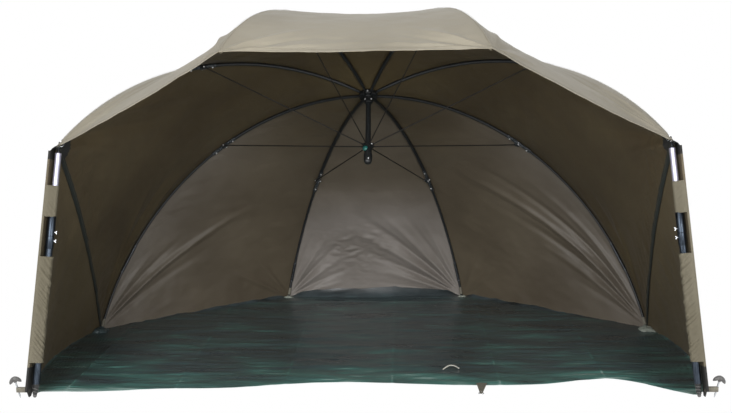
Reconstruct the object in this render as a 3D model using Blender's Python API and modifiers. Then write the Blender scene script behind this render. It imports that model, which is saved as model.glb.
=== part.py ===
# Oval fishing umbrella with storm sides, two storm poles, T-pegs and a groundsheet.
# Metres, +Z up, +X to the right and +Y away from the open front.
# The umbrella leans back on an eight-rib dome: its front ribs stand free, its side ribs
# are carried by the storm poles, and its flank and rear ribs reach the ground.
import bpy
import bmesh
from math import acos, cos, pi, radians, sin, sqrt, tan
from mathutils import Matrix, Vector

# Fits and cuts
CLEARANCE = 0.0003
CUT_OVERRUN = 0.004
MERGE_DISTANCE = 0.00001
ROUND_SIDES = 16
SMALL_SIDES = 10
TUBE_RESOLUTION = 2
DOME_STEPS = 5
SEARCH_STEPS = 50
SHARP_ANGLE = radians(40)

# Stance of the umbrella, for the pivot plane of its hub
HUB_HEIGHT = 1.145
HUB_SETBACK = 1.034
UMBRELLA_TILT = radians(32.4)

# Ribs: one arc for all, measured from the pivot in the hub
PIVOT_RADIUS = 0.032
RIB_RISE = radians(13.7)
RIB_BEND_RADIUS = 1.188
RIB_RADIUS = 0.0065
RIB_LOWER_RADIUS = 0.0045
RIB_TIP_RADIUS = 0.0060
RIB_TIP_LENGTH = 0.030
RIB_TUBE_START = 0.026
RIB_UPPER_END = 0.800
RIB_BUTT_GAP = 0.002
BRACKET_START = 0.735
BRACKET_LENGTH = 0.140
BRACKET_RADIUS = 0.0088
BRACKET_FIT = 0.0006
BRACKET_RING_LENGTH = 0.010
BRACKET_RING_RADIUS = 0.0098
EAR_LENGTH = 0.026
EAR_HEIGHT = 0.016
EAR_DROP = 0.007
EAR_OFFSET = 0.0105
SPIGOT_FERRULE_AT = 1.330
SPIGOT_FERRULE_LENGTH = 0.110
RIB_STEP = 0.110
EYE_RADIUS = 0.0062
EYE_THICKNESS = 0.0060
RING_WIRE = 0.0019
RING_FIT = 0.0009
RING_STEPS = 24
RING_SIDES = 6

# Compass bearings of the ribs, from the front round to the back, and the free lengths
# of the ones that don't reach the ground
FRONT_BEARING = radians(20.0)
SIDE_BEARING = radians(61.9)
FLANK_BEARING = radians(115.7)
REAR_BEARING = radians(158.9)
FRONT_RIB_LENGTH = 1.538
SIDE_RIB_LENGTH = 1.530

# Hub crown
HUB_RADIUS = 0.045
HUB_TOP = 0.0050
HUB_RIM_BOTTOM = -0.0150
HUB_BOSS_RADIUS = 0.0200
HUB_BOSS_BOTTOM = -0.0460
HUB_SLOT_ROOT = 0.0240
HUB_STUD_RADIUS = 0.0060
HUB_STUD_REACH = 0.0060
HUB_EDGE = 0.0020

# Centre tube
TUBE_RADIUS = 0.0125
TUBE_WALL = 0.0014
TUBE_TOP = -0.0120
TUBE_BOTTOM = -0.3180

# Runner, its stretcher flange, release button and round end cap
RUNNER_PIN_DROP = 0.272
RUNNER_PIN_RADIUS = 0.0210
RUNNER_FLANGE_RADIUS = 0.0265
RUNNER_FLANGE_HEIGHT = 0.0120
RUNNER_SLOT_ROOT = 0.0165
RUNNER_RADIUS = 0.0175
RUNNER_LENGTH = 0.0480
RUNNER_FIT = 0.0004
BUTTON_BEARING = radians(-24.0)
BUTTON_DROP = 0.2980
BUTTON_HOUSING_RADIUS = 0.0088
BUTTON_HOUSING_REACH = 0.0250
BUTTON_RADIUS = 0.0064
BUTTON_HEAD_FLOOR = 0.0215
BUTTON_HEAD_TOP = 0.0290
BUTTON_SHANK_RADIUS = 0.0028
BUTTON_SHANK_TIP = 0.0160
BUTTON_FLOOR = 0.0180
BUTTON_FIT = 0.0004
LOCK_HOLE_RADIUS = 0.0040
SPRING_WIRE = 0.00035
SPRING_RADIUS = 0.0045
SPRING_TURNS = 3
END_CAP_RADIUS = 0.0200
END_CAP_LENGTH = 0.0500
END_CAP_SOCKET = 0.0060
END_CAP_FACE_RADIUS = 0.0100

# Stretchers
STRETCHER_RADIUS = 0.00275
STRETCHER_EYE_RADIUS = 0.0034
STRETCHER_EYE_THICKNESS = 0.0036
STRETCHER_ROD_START = 0.0110
STRETCHER_END_EYE = 0.0060
STRETCHER_END_THICKNESS = 0.0056
STRETCHER_RING_WIRE = 0.0011

# Crown cap, screwed down on the cloth from outside
CAP_RADIUS = 0.0300
CAP_HEIGHT = 0.0140

# Canopy cloth
CLOTH_THICKNESS = 0.0020
CANOPY_STAND_OFF = 0.0150
CANOPY_FIT = 0.0009
CANOPY_ROWS = 15
GORE_COLUMNS = 4
GORE_SAG = 0.016
FRONT_HEM_OVERHANG = 0.020
CORNER_OVERHANG = 0.046
HEM_BOW = 0.020
EYELET_RADIUS = 0.0048
HEM_LIFT = 0.0006

# Storm poles
POLE_SPREAD = 2.600
POLE_UPPER_RADIUS = 0.0125
POLE_LOWER_RADIUS = 0.0145
POLE_WALL = 0.0013
POLE_JOINT_HEIGHT = 0.640
POLE_OVERLAP = 0.280
POLE_FIT = 0.0004
POLE_PIN_RADIUS = 0.0040
POLE_PIN_LENGTH = 0.062
POLE_TOP_DROP = 0.048
POLE_PIN_BEYOND_RIB = 0.024
FOOT_LENGTH = 0.055
FOOT_PLUG = 0.025
FOOT_TIP_RADIUS = 0.0030
FOOT_TURNS = 3
FOOT_RIDGE = 0.0035
FOOT_RIDGE_SHARE = 0.4
CLAMP_RADIUS = 0.0200
CLAMP_BELOW = 0.032
CLAMP_ABOVE = 0.030
CLAMP_SHOULDER = 0.0020
SCREW_SPACING = 0.034
SCREW_RADIUS = 0.0024
SCREW_FIT = 0.0004
SCREW_KNOB_RADIUS = 0.0085
SCREW_KNOB_START = 0.0260
SCREW_KNOB_THICKNESS = 0.0070
SCREW_REACH = 0.0370
SCREW_LOBES = 6

# Storm sides and the tabs that wrap the poles
SIDE_ROWS = 9
SIDE_COLUMNS = 6
SIDE_CLEAR = 0.024
SIDE_FRONT_FLAP = 0.034
SIDE_TOP_SHARE = 0.03
SIDE_BULGE = 0.075
SIDE_SEAM_GAP = 0.0024
TAB_CLEAR = 0.0010
TAB_TURN = radians(215)
TAB_CLOSING = 3.0
TAB_STEPS = 8
UPPER_TAB_ABOVE_CLAMP = 0.075
UPPER_TAB_LENGTH = 0.105
LOWER_TAB_BELOW_CLAMP = 0.048
LOWER_TAB_LENGTH = 0.420

# Groundsheet
SHEET_THICKNESS = 0.0016
SHEET_BEHIND_POLES = 0.060
SHEET_WAVE = 0.180
SHEET_SIDE_INSET = 0.034
SHEET_HEM_INSET = 0.004
SHEET_SIDE_SHARE = 2 / 3
SHEET_BULGE_SHARE = 0.8

# Pegs and their webbing loops
PEG_OUT = 0.056
PEG_LEAN = radians(15)
PEG_LENGTH = 0.078
PEG_RADIUS = 0.0035
PEG_POINT = 0.012
PEG_HEAD_LENGTH = 0.046
PEG_HEAD_RADIUS = 0.0075
PEG_NECK_RADIUS = 0.0060
PEG_NECK_LENGTH = 0.012
LOOP_LOW = 0.020
LOOP_HEIGHT = 0.012
LOOP_THICKNESS = 0.0014
LOOP_PEG_RADIUS = 0.0056
LOOP_STEPS = 6

UMBRELLA_NAME = "fishing_umbrella"
FINISHES = {
    "canopy_cloth": ((0.380, 0.346, 0.272), 0.80, 0.0),
    "storm_cloth": ((0.300, 0.272, 0.212), 0.80, 0.0),
    "groundsheet_pe": ((0.030, 0.062, 0.060), 0.35, 0.0),
    "rib_black": ((0.020, 0.022, 0.024), 0.40, 0.0),
    "bracket_steel": ((0.060, 0.062, 0.066), 0.35, 0.8),
    "hub_nylon": ((0.022, 0.024, 0.026), 0.45, 0.0),
    "pin_steel": ((0.60, 0.60, 0.60), 0.25, 1.0),
    "pole_silver": ((0.62, 0.63, 0.64), 0.28, 1.0),
    "pole_gunmetal": ((0.070, 0.074, 0.080), 0.35, 0.9),
    "button_green": ((0.030, 0.170, 0.130), 0.35, 0.0),
    "peg_plastic": ((0.180, 0.175, 0.165), 0.60, 0.0),
}


def clear_scene():
    for item in list(bpy.data.objects):
        bpy.data.objects.remove(item, do_unlink=True)


def new_collection(name):
    group = bpy.data.collections.new(name)
    bpy.context.scene.collection.children.link(group)
    return group


def finish(name):
    found = bpy.data.materials.get(name)
    if found:
        return found
    colour, roughness, metallic = FINISHES[name]
    made = bpy.data.materials.new(name)
    made.use_nodes = True
    shader = made.node_tree.nodes["Principled BSDF"]
    shader.inputs["Base Color"].default_value = (*colour, 1.0)
    shader.inputs["Roughness"].default_value = roughness
    shader.inputs["Metallic"].default_value = metallic
    made.diffuse_color = (*colour, 1.0)
    return made


def empty(name, parent, matrix):
    made = bpy.data.objects.new(name, None)
    parts.objects.link(made)
    made.parent = parent
    made.matrix_local = matrix
    return made


def shade(mesh):
    mesh.shade_smooth()
    mesh.set_sharp_from_angle(angle=SHARP_ANGLE)


def part(name, mesh, parent, slot, matrix=Matrix()):
    made = bpy.data.objects.new(name, mesh)
    parts.objects.link(made)
    made.parent = parent
    made.matrix_local = matrix
    if not mesh.materials:
        mesh.materials.append(finish(slot))
    return made


def guide(name, data):
    made = bpy.data.objects.new(name, data)
    cutters.objects.link(made)
    made.hide_render = True
    made.display_type = "WIRE"
    return made


def cylinder(radius, low, high, sides=ROUND_SIDES, matrix=Matrix(), top_radius=None):
    # A closed cylinder or cone along its own Z, from low to high.
    mesh = bpy.data.meshes.new("cylinder")
    grid = bmesh.new()
    end = radius if top_radius is None else top_radius
    bmesh.ops.create_cone(grid, cap_ends=True, segments=sides, radius1=radius, radius2=end,
                          depth=high - low)
    shift = Matrix.Translation((0, 0, (high + low) / 2))
    bmesh.ops.transform(grid, matrix=matrix @ shift, verts=grid.verts)
    grid.to_mesh(mesh)
    grid.free()
    return mesh


def block(low, high, matrix=Matrix()):
    # A closed box between two corners.
    mesh = bpy.data.meshes.new("block")
    grid = bmesh.new()
    bmesh.ops.create_cube(grid, size=1)
    size = [h - l for l, h in zip(low, high)]
    middle = [(h + l) / 2 for l, h in zip(low, high)]
    spread = Matrix.Translation(middle) @ Matrix.Diagonal((*size, 1))
    bmesh.ops.transform(grid, matrix=matrix @ spread, verts=grid.verts)
    grid.to_mesh(mesh)
    grid.free()
    return mesh


def together(meshes):
    # One mesh of several closed solids.
    grid = bmesh.new()
    for mesh in meshes:
        grid.from_mesh(mesh)
        bpy.data.meshes.remove(mesh)
    joined = bpy.data.meshes.new("group")
    grid.to_mesh(joined)
    grid.free()
    return joined


def evaluated(item):
    # The mesh of an object with its modifiers, and its caps welded.
    bpy.context.view_layer.update()
    graph = bpy.context.evaluated_depsgraph_get()
    mesh = bpy.data.meshes.new_from_object(item.evaluated_get(graph))
    grid = bmesh.new()
    grid.from_mesh(mesh)
    bmesh.ops.remove_doubles(grid, verts=grid.verts, dist=MERGE_DISTANCE)
    grid.to_mesh(mesh)
    grid.free()
    mesh.materials.clear()
    bpy.data.objects.remove(item, do_unlink=True)
    return mesh


def combined(base, others, operation):
    # Boolean union or difference of meshes that share one frame.
    item = guide("base", base)
    tools = []
    for other in others:
        tool = guide("tool", other)
        tools.append(tool)
        modifier = item.modifiers.new(operation.lower(), "BOOLEAN")
        modifier.operation = operation
        modifier.solver = "EXACT"
        modifier.object = tool
    mesh = evaluated(item)
    for tool in tools:
        bpy.data.objects.remove(tool, do_unlink=True)
    grid = bmesh.new()
    grid.from_mesh(mesh)
    bmesh.ops.triangulate(grid, faces=grid.faces)
    grid.to_mesh(mesh)
    grid.free()
    return mesh


def turned(profile, steps=ROUND_SIDES):
    # A profile of (radius, height) points, down its outer side, turned about Z.
    outline = bpy.data.meshes.new("profile")
    grid = bmesh.new()
    points = [grid.verts.new((radius, 0, height)) for radius, height in profile]
    for first, second in zip(points, points[1:]):
        grid.edges.new((first, second))
    if profile[0][0] > 0:
        grid.edges.new((points[-1], points[0]))
    grid.to_mesh(outline)
    grid.free()
    item = guide("turned", outline)
    screw = item.modifiers.new("turn", "SCREW")
    screw.steps = steps
    screw.render_steps = steps
    screw.use_merge_vertices = True
    screw.merge_threshold = MERGE_DISTANCE
    return evaluated(item)


def tube(points, radius, shares=None, resolution=TUBE_RESOLUTION):
    # A round rod along a row of points; shares swell it where a ferrule sits.
    data = bpy.data.curves.new("tube", "CURVE")
    data.dimensions = "3D"
    data.bevel_depth = radius
    data.bevel_resolution = resolution
    data.use_fill_caps = True
    line = data.splines.new("POLY")
    line.points.add(len(points) - 1)
    for index, point in enumerate(points):
        line.points[index].co = (*point, 1)
        line.points[index].radius = shares[index] if shares else 1
    return evaluated(guide("tube", data))


def sheet(rows, thickness, offset=1.0, ring=False):
    # A cloth panel: a grid of points given a thickness by Solidify.
    grid = bmesh.new()
    lines = [[grid.verts.new(point) for point in row] for row in rows]
    for upper, lower in zip(lines, lines[1:]):
        count = len(upper)
        for index in range(count if ring else count - 1):
            after = (index + 1) % count
            grid.faces.new((upper[index], upper[after], lower[after], lower[index]))
    bmesh.ops.remove_doubles(grid, verts=grid.verts, dist=MERGE_DISTANCE)
    mesh = bpy.data.meshes.new("sheet")
    grid.to_mesh(mesh)
    grid.free()
    item = guide("sheet", mesh)
    wall = item.modifiers.new("thickness", "SOLIDIFY")
    wall.thickness = thickness
    wall.offset = offset
    wall.use_even_offset = False
    return evaluated(item)


# Rib arc
def rib_angle(length):
    return length / RIB_BEND_RADIUS - RIB_RISE


def rib_point(length, stand_off=0.0):
    # A point on the rib's own plane: X outward from the tube, Z towards the crown.
    angle = rib_angle(length)
    out = PIVOT_RADIUS + RIB_BEND_RADIUS * (sin(angle) + sin(RIB_RISE))
    drop = RIB_BEND_RADIUS * (cos(RIB_RISE) - cos(angle))
    return Vector((out + stand_off * sin(angle), 0, stand_off * cos(angle) - drop))


def rib_turn(side, bearing):
    return Matrix.Rotation(side * (bearing - pi / 2) + (0 if side > 0 else pi), 4, "Z")


def umbrella_matrix():
    return Matrix.Translation((0, HUB_SETBACK, HUB_HEIGHT)) @ Matrix.Rotation(-UMBRELLA_TILT, 4, "X")


def on_rib(side, bearing, length, stand_off=0.0):
    # The same point in the world.
    return umbrella_matrix() @ rib_turn(side, bearing) @ rib_point(length, stand_off)


def rib_tangent(side, bearing, length):
    angle = rib_angle(length)
    return (umbrella_matrix() @ rib_turn(side, bearing)).to_3x3() @ Vector((cos(angle), 0, -sin(angle)))


def length_to_ground(bearing, height, end_radius, stand_off=0.0):
    # The arc length at which the end of a rib of that radius comes down to a height.
    short, long = RIB_BEND_RADIUS / 2, RIB_BEND_RADIUS * 2
    for _ in range(SEARCH_STEPS):
        middle = (short + long) / 2
        slope = rib_tangent(1, bearing, middle)[2]
        lowest = on_rib(1, bearing, middle, stand_off)[2] - end_radius * sqrt(1 - slope * slope)
        if lowest > height:
            short = middle
        else:
            long = middle
    return short


SIDES = {"left": -1, "right": 1}
FOOT_HEIGHT = SHEET_THICKNESS + CLEARANCE
RIBS = {
    "front": (FRONT_BEARING, FRONT_RIB_LENGTH),
    "side": (SIDE_BEARING, SIDE_RIB_LENGTH),
    "flank": (FLANK_BEARING, length_to_ground(FLANK_BEARING, FOOT_HEIGHT, RIB_TIP_RADIUS)),
    "rear": (REAR_BEARING, length_to_ground(REAR_BEARING, FOOT_HEIGHT, RIB_TIP_RADIUS)),
}
CANOPY_LENGTHS = {
    "front": FRONT_RIB_LENGTH + FRONT_HEM_OVERHANG,
    "side": SIDE_RIB_LENGTH + CORNER_OVERHANG,
    "flank": length_to_ground(FLANK_BEARING, HEM_LIFT, 0, CANOPY_STAND_OFF),
    "rear": length_to_ground(REAR_BEARING, HEM_LIFT, 0, CANOPY_STAND_OFF),
}


def arc_lengths(start, end):
    count = max(2, round((end - start) / RIB_STEP) + 1)
    return [start + (end - start) * index / (count - 1) for index in range(count)]


def stud_top():
    return crown_seat() + HUB_STUD_REACH


def hub_crown_mesh():
    body = turned([
        (0, stud_top()),
        (HUB_STUD_RADIUS - HUB_EDGE / 2, stud_top()),
        (HUB_STUD_RADIUS, stud_top() - HUB_EDGE / 2),
        (HUB_STUD_RADIUS, HUB_TOP),
        (HUB_RADIUS - HUB_EDGE, HUB_TOP),
        (HUB_RADIUS, HUB_TOP - HUB_EDGE),
        (HUB_RADIUS, HUB_RIM_BOTTOM + HUB_EDGE),
        (HUB_RADIUS - HUB_EDGE, HUB_RIM_BOTTOM),
        (HUB_BOSS_RADIUS + HUB_EDGE, HUB_RIM_BOTTOM),
        (HUB_BOSS_RADIUS, HUB_RIM_BOTTOM - HUB_EDGE),
        (HUB_BOSS_RADIUS, HUB_BOSS_BOTTOM + HUB_EDGE),
        (HUB_BOSS_RADIUS - HUB_EDGE, HUB_BOSS_BOTTOM),
        (0, HUB_BOSS_BOTTOM),
    ], steps=2 * ROUND_SIDES)
    half_slot = EYE_THICKNESS / 2 + CLEARANCE
    slot_low = HUB_RIM_BOTTOM - CUT_OVERRUN
    slots = [block((HUB_SLOT_ROOT, -half_slot, slot_low),
                   (HUB_RADIUS + CUT_OVERRUN, half_slot, HUB_TOP + CUT_OVERRUN), turn)
             for turn in rib_turns()]
    tunnel = ring(PIVOT_RADIUS, RING_WIRE + CLEARANCE)
    socket = cylinder(TUBE_RADIUS + CLEARANCE, HUB_BOSS_BOTTOM - CUT_OVERRUN, TUBE_TOP + CLEARANCE)
    return combined(body, [together(slots), tunnel, socket], "DIFFERENCE")


def rib_turns():
    return [rib_turn(side, RIBS[name][0]) for name in RIBS for side in SIDES.values()]


def ring(radius, wire):
    # The wire ring that threads all the eyes of a hub.
    bpy.ops.mesh.primitive_torus_add(major_radius=radius, minor_radius=wire,
                                     major_segments=RING_STEPS, minor_segments=RING_SIDES)
    made = bpy.context.object
    mesh = made.data.copy()
    bpy.data.objects.remove(made, do_unlink=True)
    return mesh


def eye(radius, thickness, reach, hole):
    # A flat eye on a pivot at the origin, with a web that runs out along X.
    lie = Matrix.Rotation(pi / 2, 4, "X")
    knuckle = cylinder(radius, -thickness / 2, thickness / 2, SMALL_SIDES, lie)
    web = block((0, -thickness / 2, -radius * cos(pi / SMALL_SIDES)),
                (reach, thickness / 2, radius * cos(pi / SMALL_SIDES)))
    solid = combined(knuckle, [web], "UNION")
    if not hole:
        return solid
    bore = cylinder(hole, -thickness, thickness, SMALL_SIDES, lie)
    return combined(solid, [bore], "DIFFERENCE")


def rib_upper_mesh():
    # Built about the pivot, which is the origin of the hinge.
    to_pivot = Matrix.Translation((-PIVOT_RADIUS, 0, 0))
    stations = arc_lengths(RIB_TUBE_START, BRACKET_START) + [RIB_UPPER_END]
    points = [to_pivot @ rib_point(s) for s in stations]
    rod = tube(points, RIB_RADIUS)
    root = eye(EYE_RADIUS, EYE_THICKNESS, RIB_TUBE_START + EYE_RADIUS, RING_WIRE + RING_FIT)
    root.transform(Matrix.Rotation(-rib_lift(), 4, "Y"))
    return combined(rod, [root], "UNION")


def rib_lift():
    # The angle of the eye's web above the hub's plane: the chord to the start of the rod.
    start = rib_point(RIB_TUBE_START) - rib_point(0)
    return acos(start.normalized()[0])


def bracket_mesh():
    # A steel sleeve over the joint of the two rib sections, with the stretcher's ear.
    to_pivot = Matrix.Translation((-PIVOT_RADIUS, 0, 0))
    end = BRACKET_START + BRACKET_LENGTH
    lengths = [BRACKET_START, BRACKET_START + BRACKET_RING_LENGTH,
               BRACKET_START + BRACKET_RING_LENGTH + CLEARANCE,
               RIB_UPPER_END,
               end - BRACKET_RING_LENGTH - CLEARANCE, end - BRACKET_RING_LENGTH, end]
    ring_share = BRACKET_RING_RADIUS / BRACKET_RADIUS
    sleeve = tube([to_pivot @ rib_point(s) for s in lengths], BRACKET_RADIUS,
                  [ring_share, ring_share, 1, 1, 1, ring_share, ring_share])
    middle = rib_point(RIB_UPPER_END) - rib_point(0)
    lean = Matrix.Translation(middle) @ Matrix.Rotation(rib_angle(RIB_UPPER_END), 4, "Y")
    ear = block((-EAR_LENGTH / 2, 0, -EAR_HEIGHT / 2 - EAR_DROP),
                (EAR_LENGTH / 2, EAR_OFFSET, EAR_HEIGHT / 2 - EAR_DROP), lean)
    sleeve = combined(sleeve, [ear], "UNION")
    bore = tube([to_pivot @ rib_point(s) for s in
                 (BRACKET_START - CUT_OVERRUN, BRACKET_START, RIB_UPPER_END, end, end + CUT_OVERRUN)],
                RIB_RADIUS + BRACKET_FIT)
    return combined(sleeve, [bore], "DIFFERENCE")


def rib_lower_mesh(length, ferrule):
    # Thin rod from inside the bracket to the tip: a plug, the rod, a ferrule and the tip cap.
    to_pivot = Matrix.Translation((-PIVOT_RADIUS, 0, 0))
    plug = RIB_RADIUS / RIB_LOWER_RADIUS
    cap = RIB_TIP_RADIUS / RIB_LOWER_RADIUS
    start = RIB_UPPER_END + RIB_BUTT_GAP
    plug_end = BRACKET_START + BRACKET_LENGTH
    stations = [(start, plug), (plug_end, plug), (plug_end + CLEARANCE, 1)]
    low = plug_end + RIB_STEP
    if ferrule:
        ferrule_end = SPIGOT_FERRULE_AT + SPIGOT_FERRULE_LENGTH
        stations += [(s, 1) for s in arc_lengths(low, SPIGOT_FERRULE_AT - RIB_STEP / 2)]
        stations += [(SPIGOT_FERRULE_AT, 1), (SPIGOT_FERRULE_AT + CLEARANCE, plug),
                     (ferrule_end, plug), (ferrule_end + CLEARANCE, 1)]
        low = ferrule_end + RIB_STEP / 2
    tip_start = length - RIB_TIP_LENGTH
    stations += [(s, 1) for s in arc_lengths(low, tip_start - RIB_STEP / 2)]
    stations += [(tip_start, 1), (tip_start + CLEARANCE, cap), (length, cap)]
    points = [to_pivot @ rib_point(s) for s, _ in stations]
    return tube(points, RIB_LOWER_RADIUS, [share for _, share in stations])


def stretcher_reach():
    # From the runner's pin to the bracket's ear, in the rib's plane.
    ear = rib_point(RIB_UPPER_END, -EAR_DROP)
    pin = Vector((RUNNER_PIN_RADIUS, 0, -RUNNER_PIN_DROP))
    return ear - pin


def stretcher_offset():
    return EAR_OFFSET + CLEARANCE + STRETCHER_END_THICKNESS / 2


def stretcher_mesh():
    # Lies along X from the runner's pin; its outer end steps aside to clear the rib.
    reach = stretcher_reach().length
    root = eye(STRETCHER_EYE_RADIUS, STRETCHER_EYE_THICKNESS, STRETCHER_ROD_START + STRETCHER_EYE_RADIUS,
               STRETCHER_RING_WIRE + RING_FIT)
    rod = tube([(STRETCHER_ROD_START, 0, 0), (reach, stretcher_offset(), 0)], STRETCHER_RADIUS)
    across = Matrix.Translation((reach, stretcher_offset(), 0)) @ Matrix.Rotation(pi / 2, 4, "X")
    half = STRETCHER_END_THICKNESS / 2
    end_eye = cylinder(STRETCHER_END_EYE, -half, half, SMALL_SIDES, across)
    return combined(rod, [root, end_eye], "UNION")


def centre_tube_mesh():
    inner = TUBE_RADIUS - TUBE_WALL
    pipe = turned([(TUBE_RADIUS, TUBE_TOP), (TUBE_RADIUS, TUBE_BOTTOM),
                   (inner, TUBE_BOTTOM), (inner, TUBE_TOP)])
    hole = cylinder(LOCK_HOLE_RADIUS, 0, TUBE_RADIUS + CUT_OVERRUN, SMALL_SIDES, button_place(0))
    return combined(pipe, [hole], "DIFFERENCE")


def button_place(lift):
    # The button's line: from the tube's axis outward, turned to its bearing.
    return (Matrix.Translation((0, 0, lift - BUTTON_DROP))
            @ Matrix.Rotation(BUTTON_BEARING - pi / 2, 4, "Z") @ Matrix.Rotation(pi / 2, 4, "Y"))


def runner_mesh():
    # In the runner's own frame, whose origin is on the stretcher pins' plane.
    half = RUNNER_FLANGE_HEIGHT / 2
    inner = TUBE_RADIUS + RUNNER_FIT
    low = half - RUNNER_LENGTH
    body = turned([
        (RUNNER_FLANGE_RADIUS - HUB_EDGE / 2, half),
        (RUNNER_FLANGE_RADIUS, half - HUB_EDGE / 2),
        (RUNNER_FLANGE_RADIUS, HUB_EDGE / 2 - half),
        (RUNNER_FLANGE_RADIUS - HUB_EDGE / 2, -half),
        (RUNNER_RADIUS, -half),
        (RUNNER_RADIUS, low),
        (inner, low),
        (inner, half),
    ], steps=2 * ROUND_SIDES)
    line = button_place(RUNNER_PIN_DROP)
    housing = cylinder(BUTTON_HOUSING_RADIUS, RUNNER_RADIUS - TUBE_WALL, BUTTON_HOUSING_REACH,
                       ROUND_SIDES, line)
    body = combined(body, [housing], "UNION")
    half_slot = STRETCHER_EYE_THICKNESS / 2 + CLEARANCE
    slots = [block((RUNNER_SLOT_ROOT, -half_slot, -half - CUT_OVERRUN),
                   (RUNNER_FLANGE_RADIUS + CUT_OVERRUN, half_slot, half + CUT_OVERRUN), turn)
             for turn in rib_turns()]
    tunnel = ring(RUNNER_PIN_RADIUS, STRETCHER_RING_WIRE + CLEARANCE)
    well = cylinder(BUTTON_RADIUS + BUTTON_FIT, BUTTON_FLOOR, BUTTON_HOUSING_REACH + CUT_OVERRUN,
                    ROUND_SIDES, line)
    shank = cylinder(BUTTON_SHANK_RADIUS + BUTTON_FIT, inner - CUT_OVERRUN, BUTTON_HOUSING_REACH,
                     ROUND_SIDES, line)
    return combined(body, [together(slots), tunnel, well, shank], "DIFFERENCE")


def button_mesh():
    edge = HUB_EDGE / 2
    return turned([
        (0, BUTTON_HEAD_TOP),
        (BUTTON_RADIUS - edge, BUTTON_HEAD_TOP - edge / 2),
        (BUTTON_RADIUS, BUTTON_HEAD_TOP - edge - edge / 2),
        (BUTTON_RADIUS, BUTTON_HEAD_FLOOR),
        (BUTTON_SHANK_RADIUS, BUTTON_HEAD_FLOOR),
        (BUTTON_SHANK_RADIUS, BUTTON_SHANK_TIP),
        (0, BUTTON_SHANK_TIP),
    ])


def spring_mesh():
    low = BUTTON_FLOOR + SPRING_WIRE + CLEARANCE
    high = BUTTON_HEAD_FLOOR - SPRING_WIRE - CLEARANCE
    steps = SPRING_TURNS * ROUND_SIDES // 2
    points = []
    for index in range(steps + 1):
        angle = 2 * pi * SPRING_TURNS * index / steps
        height = low + (high - low) * index / steps
        points.append((SPRING_RADIUS * cos(angle), SPRING_RADIUS * sin(angle), height))
    return tube(points, SPRING_WIRE, resolution=1)


def end_cap_mesh():
    # A rounded cap that closes the runner and takes the end of the tube; flat at the bottom.
    half = RUNNER_FLANGE_HEIGHT / 2
    top = half - RUNNER_LENGTH - CLEARANCE
    low = top - END_CAP_LENGTH
    turns = [pi / 2 * i / DOME_STEPS for i in range(DOME_STEPS + 1)]
    nose = [(END_CAP_FACE_RADIUS + (END_CAP_RADIUS - END_CAP_FACE_RADIUS) * cos(turn),
             low + END_CAP_LENGTH / 2 * (1 - sin(turn))) for turn in turns]
    inner = TUBE_RADIUS + RUNNER_FIT
    socket = min(top - END_CAP_SOCKET, TUBE_BOTTOM + RUNNER_PIN_DROP - CLEARANCE)
    return turned([(inner, top), (END_CAP_RADIUS - HUB_EDGE, top), (END_CAP_RADIUS, top - HUB_EDGE)]
                  + nose + [(0, low), (0, socket), (inner, socket)])


def crown_cap_mesh():
    # A shallow dome nut over the hub's stud, seated on the cloth.
    seat = crown_seat()
    top = seat + CAP_HEIGHT
    turns = [pi / 2 * i / DOME_STEPS for i in range(DOME_STEPS + 1)]
    dome = [(CAP_RADIUS * sin(turn), seat + HUB_EDGE + (CAP_HEIGHT - HUB_EDGE) * cos(turn))
            for turn in turns]
    solid = turned(dome + [(CAP_RADIUS, seat), (0, seat)])
    bore = cylinder(HUB_STUD_RADIUS + CLEARANCE, seat - top, stud_top() + CLEARANCE)
    return combined(solid, [bore], "DIFFERENCE")


def crown_seat():
    # The cloth's outer face where the cap's rim meets it.
    return CANOPY_STAND_OFF + CLOTH_THICKNESS + (CAP_RADIUS - HUB_STUD_RADIUS) * tan(RIB_RISE)


def canopy_columns():
    # Ribs in order round the dome.
    left = [("left", name) for name in ("front", "side", "flank", "rear")]
    right = [("right", name) for name in ("rear", "flank", "side", "front")]
    return left + right


def canopy_point(side, name, share):
    start = HUB_STUD_RADIUS + CANOPY_FIT + CANOPY_STAND_OFF * sin(RIB_RISE) - PIVOT_RADIUS
    length = start + (CANOPY_LENGTHS[name] - start) * share
    return on_rib(SIDES[side], RIBS[name][0], length, CANOPY_STAND_OFF)


def gore_point(first, second, share, across):
    # Between two ribs the cloth is a taut chord that sags inward a little, and its hem
    # is bowed up by the pull of the binding.
    hump = 4 * across * (1 - across)
    grounded = first[1] in ("flank", "rear") and second[1] in ("flank", "rear")
    pull = 0 if grounded else HEM_BOW / SIDE_RIB_LENGTH * hump
    drawn = share * (1 - pull)
    a = canopy_point(*first, drawn)
    b = canopy_point(*second, drawn)
    inward = (umbrella_matrix() @ Vector((0, 0, -RIB_BEND_RADIUS))) - (a + b) / 2
    bell = sin(pi * min(1, share)) ** 2 if grounded else sin(pi / 2 * share)
    return a.lerp(b, across) + inward.normalized() * GORE_SAG * hump * bell


def canopy_mesh():
    rows = []
    ribs = canopy_columns()
    for row in range(CANOPY_ROWS + 1):
        share = row / CANOPY_ROWS
        line = []
        for index, first in enumerate(ribs):
            second = ribs[(index + 1) % len(ribs)]
            line += [gore_point(first, second, share, column / GORE_COLUMNS)
                     for column in range(GORE_COLUMNS)]
        rows.append(line)
    shell = sheet(rows, CLOTH_THICKNESS, 1.0, ring=True)
    holes = []
    for side in SIDES:
        frame = pole_matrix(SIDES[side])
        length = pole_length(SIDES[side])
        holes.append(cylinder(EYELET_RADIUS, length - POLE_TOP_DROP - CUT_OVERRUN,
                              length + POLE_PIN_LENGTH, SMALL_SIDES, frame))
    return combined(shell, [together(holes)], "DIFFERENCE")


# Storm poles
def pole_top(side):
    # The pin stands just past the tip of the side rib, under the canopy's corner.
    return on_rib(side, SIDE_BEARING, SIDE_RIB_LENGTH + POLE_PIN_BEYOND_RIB, CANOPY_STAND_OFF)


def pole_foot(side):
    return Vector((side * POLE_SPREAD / 2, 0, 0))


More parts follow.
